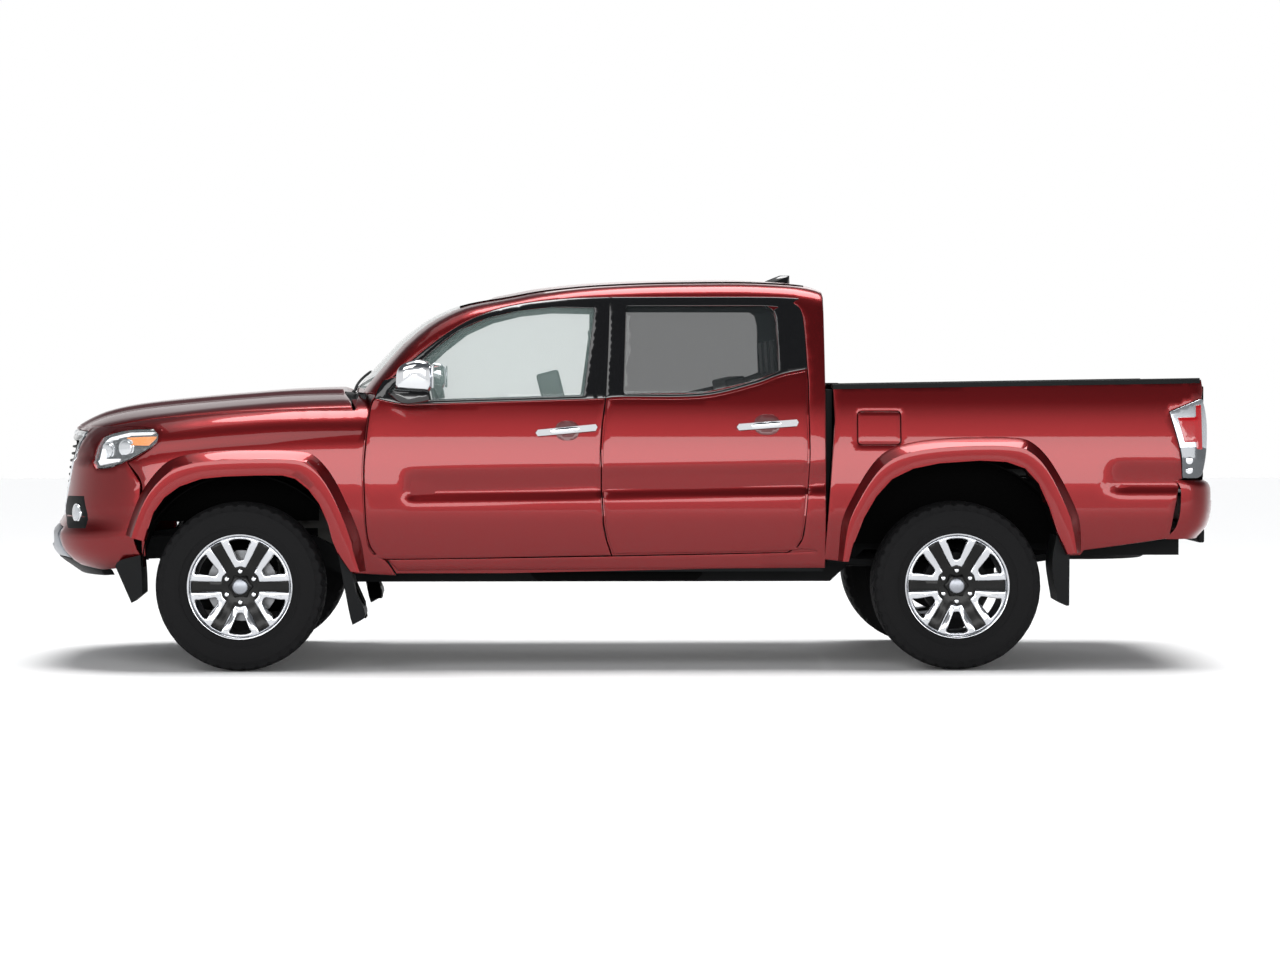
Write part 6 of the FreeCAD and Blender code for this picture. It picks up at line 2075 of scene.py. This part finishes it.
@dataclass
class Wheel:
    """One wheel: treaded tyre, six-spoke alloy rim, nuts, cap and, in front, a brake disc."""

    name: str
    x: float
    y: float
    side: Side

    @property
    def out(self) -> Vector:
        """The direction the wheel's face looks in."""
        return Vector((0, self.side.value, 0))

    def at(self, u: float, v: float, height: float) -> Vector:
        """A point of the wheel by place in its disc and distance out from its middle plane."""
        return Vector((self.x + u, self.y + self.side.value * height, AXLE_HEIGHT + v))

    def build(self) -> None:
        """Builds the wheel on its body."""
        body = f"wheel_{self.name}"
        settle(self.tyre(), body, f"tyre_{self.name}")
        settle(self.face(), body, f"rim_{self.name}")
        settle(self.barrel(), body)
        settle(self.floor(), body)
        settle(self.nuts(), body)
        if self.name.startswith("front"):
            settle(self.brake_disc(), body)

    def lathe(self, name: str, profile: Sequence[Point2], finish: Finish, count: int = 96
              ) -> bpy.types.Object:
        """Turns a profile of (height, radius) about the hub.

        Args:
            name: The object's name.
            profile: Pairs of height along the axle and radius.
            finish: Its finish.
            count: Steps in one turn.

        Returns:
            The turned piece.
        """
        points = [
            self.at(r * math.cos(math.tau * k / count), r * math.sin(math.tau * k / count), h)
            for h, r in profile for k in range(count)
        ]
        faces = grid_faces(len(profile), count)
        return dress(shaded_object(name, points, faces, 40, self.out), finish)

    @staticmethod
    def crown(across: float) -> float:
        """The tyre's outer radius over its width.

        Args:
            across: Distance from the middle of the tyre's width.

        Returns:
            The radius there.
        """
        share = min(1.0, abs(across) / TYRE_HALF)
        if share < SHOULDER_SHARE:
            return TYRE_RADIUS - 4.0 * (share / SHOULDER_SHARE) ** 2
        return TYRE_RADIUS - 4 - 22 * ((share - SHOULDER_SHARE) / 0.26) ** 1.8

    def tyre(self) -> bpy.types.Object:
        """The tyre, with grooves round it, slots across its shoulders and a ribbed sidewall.

        Returns:
            The tyre.
        """
        count = 240
        wall = ((104, 233), (112, 240), (118, 250), (124, 270), (127.5, 271), (129, 274),
                (131, 296), (131.8, 308), (131.4, 322), (129.5, 340), (128.5, 341), (127.5, 344),
                (124, 352))
        tread = [(119 - 238 * k / 32, self.crown(119 - 238 * k / 32)) for k in range(33)]
        for g in GROOVES:
            tread += [(g + aside, self.crown(g) - deep)
                      for aside, deep in ((-5.5, 0), (-4.2, 7), (4.2, 7), (5.5, 0))]
        tread = [t for t in tread if t[1] < self.crown(t[0]) - 1
                 or not any(abs(t[0] - g) < 5.4 for g in GROOVES)]
        tread.sort(key=lambda t: -t[0])
        profile = [*wall, *tread, *((-h, r) for h, r in reversed(wall))]
        points: list[Vector] = []
        for h, r in profile:
            for k in range(count):
                cut = 0.0
                if 84 < abs(h) < 126 and r > 338 and k % TREAD_BEAT < 2:
                    cut = 7.0 if abs(h) > 92 else 5.0
                elif abs(h) < 72 and r > 374 and (k + int(abs(h) // 54) * 3) % TREAD_BEAT == 0:
                    cut = 4.0
                angle = math.tau * (k + 0.14 * (h / 12)) / count
                points.append(self.at((r - cut) * math.cos(angle), (r - cut) * math.sin(angle), h))
        faces = grid_faces(len(profile), count)
        return dress(shaded_object(f"tyre_{self.name}_rubber", points, faces, 30), RUBBER)

    def dish(self, u: float, v: float) -> float:
        """How far out the face stands at a place."""
        r = math.hypot(u, v)
        return FACE_HEIGHT + 17 * ramp(100, 212, r) - 5 * (1 - ramp(40, 95, r))

    def face(self) -> bpy.types.Object:
        """The spoked face, pierced by six windows and a star-shaped channel.

        Returns:
            The face.
        """
        star: Outline = []
        for k in range(SPOKES):
            star += [turned_point(r, a, SPOKE_PITCH * k) for r, a in STAR_ARM]
            star.append(turned_point(91, 0, SPOKE_PITCH * (k + 0.5)))
        windows = [
            round_corners([turned_point(r, a, SPOKE_PITCH * (k + 0.5)) for r, a in SPOKE_WINDOW], 9)
            for k in range(SPOKES)
        ]
        panel = Panel(
            f"rim_{self.name}_face", circle(226, 132),
            lambda u, v: self.at(u, v, self.dish(u, v)), self.out,
            holes=[round_corners(star, 5), *windows], step=9.0, roll=4.5, depth=30.0, lift=0.0,
        )
        return dress(panel.build(), ALLOY)

    def floor(self) -> bpy.types.Object:
        """The dark channel in each spoke and the hub under the cap.

        Returns:
            The channel, the cap and its seat as one piece.
        """
        disc = Panel(
            f"rim_{self.name}_channel", round_corners([
                q for k in range(SPOKES) for q in (
                    *[turned_point(r + 2, a * 1.25, SPOKE_PITCH * k) for r, a in STAR_ARM],
                    turned_point(98, 0, SPOKE_PITCH * (k + 0.5)))
            ], 5),
            lambda u, v: self.at(u, v, self.dish(u, v) - CHANNEL_DEPTH), self.out,
            step=16.0, roll=2.0, depth=16.0, lift=0.0,
        )
        channel = dress(disc.build(), CHANNEL_BLACK)
        cap = self.lathe("cap", ((70, 36), (84, 36), (88, 33.5), (90, 29), (90, 1), (90, 0.5)),
                         ALLOY_BARREL, 48)
        lobes = Panel(
            "cap_seat", round_corners([
                turned_point(r, 0, SPOKE_PITCH / 2 * k) for k, r in enumerate((58, 44) * SPOKES)
            ], 8),
            lambda u, v: self.at(u, v, 74 + 4 * (1 - ramp(36, 58, math.hypot(u, v)))), self.out,
            step=9.0, roll=3.0, depth=14.0, lift=0.0,
        )
        seat = dress(lobes.build(), CHANNEL_BLACK)
        return joined(f"rim_{self.name}_channel", [channel, cap, seat])

    def barrel(self) -> bpy.types.Object:
        """The rim's barrel and its bright lip.

        Returns:
            Both as one piece.
        """
        inside = self.lathe("barrel", ((100, 227), (84, 217), (40, 209), (-40, 205), (-98, 214),
                                       (-106, 222), (-106, 240), (-98, 240)), ALLOY_BARREL)
        lip = self.lathe("lip", ((92, 222), (99, 226), (104, 229), (107, 233), (108, 238),
                                 (106, 243), (100, 246)), ALLOY)
        return joined(f"rim_{self.name}_barrel", [inside, lip])

    def nuts(self) -> bpy.types.Object:
        """Six bright wheel nuts in the channel's roots.

        Returns:
            The nuts as one piece.
        """
        pieces = []
        for k in range(SPOKES):
            u, v = turned_point(NUT_CIRCLE, 0, SPOKE_PITCH * (k + 0.5))
            nut = cylinder("nut", self.at(u, v, 74), self.out, 11.0, 26, 24, 6.0)
            pieces.append(dress(nut, CHROME))
        return joined(f"rim_{self.name}_nuts", pieces)

    def brake_disc(self) -> bpy.types.Object:
        """The brake disc and its hat behind the spokes.

        Returns:
            The disc and its edge as one piece.
        """
        disc = self.lathe("disc", ((-12, 160), (-12, 92), (20, 90), (24, 84), (26, 40), (26, 1)),
                          DISC_STEEL, 72)
        rim = self.lathe("disc_edge", ((-12, 160), (-34, 160), (-34, 92)), DISC_STEEL, 72)
        return joined(f"disc_{self.name}", [disc, rim])


# Cabin and running gear

HANDLE_LOW = 980.0
HANDLE_HIGH = 1140.0
PROUD = 5.0


def paint_outside(node: bpy.types.Object, outside: Callable[[float, float, float], float],
                  layer: float, inner: Finish) -> None:
    """Paints a solid's outer side, chromes what stands proud of it and finishes the rest.

    Args:
        node: The solid.
        outside: Below 0 inside the body's skin, as a function of x, half width and z.
        layer: How deep under the skin a painted face may lie.
        inner: The finish of everything else.
    """
    node.data.materials.clear()
    for finish in (PAINT, inner, CHROME):
        node.data.materials.append(finish.material())
    for face in node.data.polygons:
        middle = face.center / MM
        depth = outside(middle.x, abs(middle.y), middle.z)
        away = face.normal.y * middle.y > 0 or face.normal.z > 0.5 or face.normal.x < -0.4
        handle = "door" in node.name and HANDLE_LOW < middle.z < HANDLE_HIGH and depth > PROUD
        face.material_index = 2 if handle else 0 if depth > -layer and away else 1


COLUMN_AXIS = Vector((0.906308, 0, 0.422618))


@dataclass
class Cabin:
    """Seats, steering wheel and dashboard trims seen through the glass."""

    def build(self) -> None:
        """Builds the cabin."""
        for side, y in (("left", -370), ("right", 370)):
            seat = self.front_seat(f"seat_front_{side}_soft", y)
            settle(seat, "chassis", f"seat_front_{side}")
        settle(self.bench(), "chassis", "seat_rear")
        self.steering_wheel()
        self.screen()

    @staticmethod
    def cushion(name: str, low: Sequence[float], high: Sequence[float], tilt: float,
                pivot: Sequence[float], fill: float = 0.6) -> bpy.types.Object:
        """A padded block, leaned about the Y axis.

        Args:
            name: The object's name.
            low: Its lowest corner.
            high: Its highest corner.
            tilt: Degrees that it leans.
            pivot: The point that it leans about.
            fill: Not used.

        Returns:
            The cushion.
        """
        block = box(name, low, high, 0)
        only(block)
        bpy.ops.object.mode_set(mode="EDIT")
        bpy.ops.mesh.select_all(action="SELECT")
        bpy.ops.mesh.subdivide(number_cuts=7)
        bpy.ops.transform.rotate(
            value=math.radians(tilt), orient_axis="Y",
            center_override=[v * MM for v in pivot],
        )
        bpy.ops.object.mode_set(mode="OBJECT")
        apply_modifier(block, "BEVEL", width=22 * MM, segments=3, limit_method="ANGLE")
        smooth_by_angle(block, 60)
        return dress(block, LEATHER)

    def front_seat(self, name: str, y: float) -> bpy.types.Object:
        """A front seat: base, cushion, backrest and a head restraint on two posts.

        Args:
            name: The seat's name.
            y: The seat's middle across the truck.

        Returns:
            The seat as one piece.
        """
        x = FRONT_AXLE + 1010
        base = dress(box("base", (x + 60, y - 190, 546), (x + 430, y + 190, 720), 12), TRIM)
        cushion = self.cushion("cushion", (x - 20, y - 235, 720), (x + 470, y + 235, 840), 4,
                               (x + 240, y, 780))
        back = self.cushion("back", (x + 455, y - 230, 800), (x + 560, y + 230, 1360), 14,
                            (x + 480, y, 800))
        head = self.cushion("head", (x + 585, y - 125, 1385), (x + 660, y + 125, 1560), 6,
                            (x + 620, y, 1400))
        lean = Vector((0.1, 0, 1)).normalized()
        posts = [
            dress(cylinder("post", (x + 620, y + aside, 1380), lean, 7, 90, 16), CHROME)
            for aside in (-60, 60)
        ]
        return joined(name, [base, cushion, back, head, *posts])

    def bench(self) -> bpy.types.Object:
        """The rear bench with three places and head restraints.

        Returns:
            The bench as one piece.
        """
        x = FRONT_AXLE + 1850
        pieces = [dress(box("bench_base", (x + 40, -600, 546), (x + 440, 600, 720), 12), TRIM)]
        for y0, y1 in ((-640, -205), (-200, 200), (205, 640)):
            pieces.append(self.cushion("bench_cushion", (x - 10, y0, 715), (x + 470, y1, 838), 3,
                                       (x + 240, 0, 780)))
            pieces.append(self.cushion("bench_back", (x + 462, y0, 810), (x + 556, y1, 1330), 13,
                                       (x + 480, 0, 810)))
        for y in (-420, 0, 420):
            pieces.append(self.cushion("bench_head", (x + 580, y - 115, 1345),
                                       (x + 645, y + 115, 1500), 4, (x + 610, y, 1350)))
        return joined("seat_rear_soft", pieces)

    def steering_wheel(self) -> None:
        """A leather-rimmed wheel with three spokes on its column."""
        centre = Vector((FRONT_AXLE + 900, -370, 1140))
        axis = COLUMN_AXIS
        turn = UP.rotation_difference(axis).to_euler()
        deselect()
        bpy.ops.mesh.primitive_torus_add(
            major_radius=0.176, minor_radius=0.0145, major_segments=72, minor_segments=16,
            location=centre * MM, rotation=turn,
        )
        rim = bpy.context.object
        bpy.ops.object.transform_apply(location=True, rotation=True, scale=True)
        smooth_by_angle(rim, 60)
        dress(rim, LEATHER)
        hub = dress(cylinder("hub", centre, axis, 62, 36, 40, 10), DASH)
        side = Vector((0, 1, 0))
        low = axis.cross(side)
        spokes = []
        for way in (side, -side, low if low.z < 0 else -low):
            spoke = cylinder("spoke", centre + way * 112, way, 12, 130, 20, 3)
            spokes.append(dress(spoke, ALLOY_BARREL))
        stalk = dress(cylinder("column", centre - axis * 36, axis, 17, 44, 24), DASH)
        whole = joined("steering_wheel_rim", [rim, hub, *spokes, stalk])
        settle(whole, "steering_wheel", "steering_wheel")

    def screen(self) -> None:
        """The dashboard's display, air vents and binnacle."""
        x = FRONT_AXLE + 800
        blocks = [("display", (x - 18, -110, 1090), (x, 130, 1200), 4, GLOSS_TRIM)]
        for y in (-660, -170, 190, 640):
            blocks.append(("vent", (x, y - 45, 1085), (x + 22, y + 45, 1150), 6, TRIM))
        blocks.append(("binnacle", (x - 100, -500, 1195), (x, -240, 1232), 16, DASH))
        pieces = [dress(box(name, *shape), finish) for name, *shape, finish in blocks]
        settle(joined("dash_trims", pieces), "chassis")


@dataclass
class Underside:
    """Finishes of the solids that stay as they are, mud flaps, deflectors and wheel arch ends."""

    def build(self, nodes: dict[str, bpy.types.Object]) -> None:
        """Dresses the running gear and adds the small pieces below.

        Args:
            nodes: The loaded solids by node name.
        """
        finishes = {
            LINER: ("bed_tub", "fuel_tank", "front_liner_left", "front_liner_right"),
            CHASSIS: ("ladder_frame", "rear_axle", "rear_spring_left", "rear_spring_right",
                      "front_suspension", "steering_rack", "propeller_shaft"),
            CAST: ("engine_gearbox", "knuckle_left", "knuckle_right"),
            DASH: ("dashboard",), DISC_STEEL: ("exhaust",), RUBBER: ("spare_wheel",),
        }
        for finish, names in finishes.items():
            for name in names:
                dress(nodes[name], finish)
        for side in ("left", "right"):
            paint_outside(nodes[f"fender_{side}"], NOSE.outside, 30, LINER)
            paint_outside(nodes[f"bed_side_{side}"], lambda x, y, z: y - side_half(x, z), 20, LINER)
            for door in ("front", "rear"):
                paint_outside(nodes[f"{door}_door_{side}"], CAB.outside, 22, DASH)
        paint_outside(nodes["cab_shell"], CAB.outside, 22, DASH)
        paint_outside(nodes["front_bumper"], self.past_nose, 22, LINER)
        self.mudflaps()

    @staticmethod
    def past_nose(x: float, y: float, z: float) -> float:
        """About how far a point stands outside the nose's skin, in millimetres."""
        corner = max(0.0, (nose_front(z) + NOSE_LENGTH - x) / NOSE_LENGTH)
        half = HALF_WIDTH - smooth(SIDE_PROFILE, z)
        return 250 * ((y / half) ** NOSE_POWER + corner ** NOSE_POWER - 1)

    def mudflaps(self) -> None:
        """Mud flaps behind each wheel and the air deflector ahead of the front ones."""
        for name, points in (
            ("rear_mudflap", ((1930, 610), (1911, 478), (1935, 312), (1977, 289), (1989, 291),
                              (1990, 481), (1990, 560))),
            ("front_mudflap", ((-1317, 521), (-1263, 236), (-1245, 213), (-1204, 236), (-1199, 272),
                               (-1240, 362), (-1262, 500))),
            ("front_deflector", ((-2319, 475), (-2247, 309), (-2198, 349), (-2200, 430),
                                 (-2207, 525), (-2300, 500))),
        ):
            loop = rounded(points)
            panel = [Vector((x, -y, z)) for y in (672, 884) for x, z in loop]
            faces = end_faces(2, len(loop)) + grid_faces(2, len(loop))
            both_sides(shaded_object(name, panel, faces, 35), TRIM)
        end = box("front_liner_end", (FRONT_AXLE - 577, -815, 520),
                  (FRONT_AXLE - 572, -690, 900), 0)
        apron = box("apron", (FRONT_AXLE - 560, -518, 665), (FRONT_AXLE + 330, -514, 1010), 0)
        both_sides(joined("front_liner_end", [end, apron]), LINER)


# Studio

CAMERA_PLACE = (-0.354, -16.23, 1.301)
CAMERA_TILT = 1.64
CAMERA_PAN = 1.48
CAMERA_LENS = 95.7
CAMERA_SENSOR = 36.0
LAMP_AIM = Vector((0, 0, 0.8))


def light(name: str, place: Sequence[float], size: Sequence[float], power: float) -> None:
    """A soft rectangular light turned towards the truck.

    Args:
        name: The light's name.
        place: Its place, in metres.
        size: Its two sides, in metres.
        power: Its power, in watts.
    """
    deselect()
    bpy.ops.object.light_add(type="AREA", location=place)
    lamp = bpy.context.object
    lamp.name = name
    lamp.data.shape = "RECTANGLE"
    lamp.data.size, lamp.data.size_y = size
    lamp.data.energy = power
    aim = LAMP_AIM - Vector(place)
    lamp.rotation_euler = aim.to_track_quat("-Z", "Y").to_euler()


def studio() -> None:
    """Pale floor, soft lights, and the camera of the reference view."""
    deselect()
    bpy.ops.mesh.primitive_plane_add(size=60, location=(0, 0, 0))
    floor = bpy.context.object
    floor.name = "studio_floor"
    dress(floor, Finish("studio_floor", "f2f2f2", roughness=0.9))
    light("key", (-5.0, -7.5, 7.0), (7, 4), 240)
    light("band", (0.0, -18.5, 3.3), (26, 3.0), 1500)
    light("top", (0.0, 0.5, 8.0), (9, 5), 150)
    light("back", (2.0, 8.0, 5.5), (6, 3), 110)
    deselect()
    bpy.ops.object.light_add(type="SUN", rotation=(math.radians(-8), math.radians(6), 0))
    bpy.context.object.data.energy = 2.9
    bpy.context.object.data.angle = math.radians(35)
    world = bpy.data.worlds.new("studio")
    bpy.context.scene.world = world
    world.use_nodes = True
    nodes, links = world.node_tree.nodes, world.node_tree.links
    where = nodes.new("ShaderNodeNewGeometry")
    split = nodes.new("ShaderNodeSeparateXYZ")
    fade = nodes.new("ShaderNodeValToRGB")
    sky = fade.color_ramp.elements
    sky[0].position, sky[0].color = 0.14, srgb("ffffff")
    sky[1].position, sky[1].color = 0.42, srgb("5c5f63")
    links.new(where.outputs["Position"], split.inputs["Vector"])
    links.new(split.outputs["Z"], fade.inputs["Fac"])
    links.new(fade.outputs["Color"], nodes["Background"].inputs["Color"])
    nodes["Background"].inputs["Strength"].default_value = 1.0
    deselect()
    bpy.ops.object.camera_add(
        location=CAMERA_PLACE,
        rotation=(math.radians(90 - CAMERA_TILT), 0, math.radians(-CAMERA_PAN)),
    )
    camera = bpy.context.object
    camera.name = "reference_camera"
    camera.data.lens = CAMERA_LENS
    camera.data.sensor_width = CAMERA_SENSOR
    bpy.context.scene.camera = camera
    bpy.context.scene.view_settings.view_transform = "Standard"


def main() -> None:
    """Builds the dressed truck."""
    logging.basicConfig(level=logging.INFO, format="%(message)s")
    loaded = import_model()
    Underside().build(loaded["nodes"])
    Cab().build()
    Doors().build()
    FrontEnd().build()
    Nosepiece().build()
    LoadBed().build()
    TailEnd().build()
    Mirrors().build()
    for name, x, track in (("front", FRONT_AXLE, FRONT_TRACK), ("rear", REAR_AXLE, REAR_TRACK)):
        for side in Side:
            Wheel(f"{name}_{side.name.lower()}", x, side.value * track / 2, side).build()
    Cabin().build()
    studio()


if __name__ == "__main__":
    main()
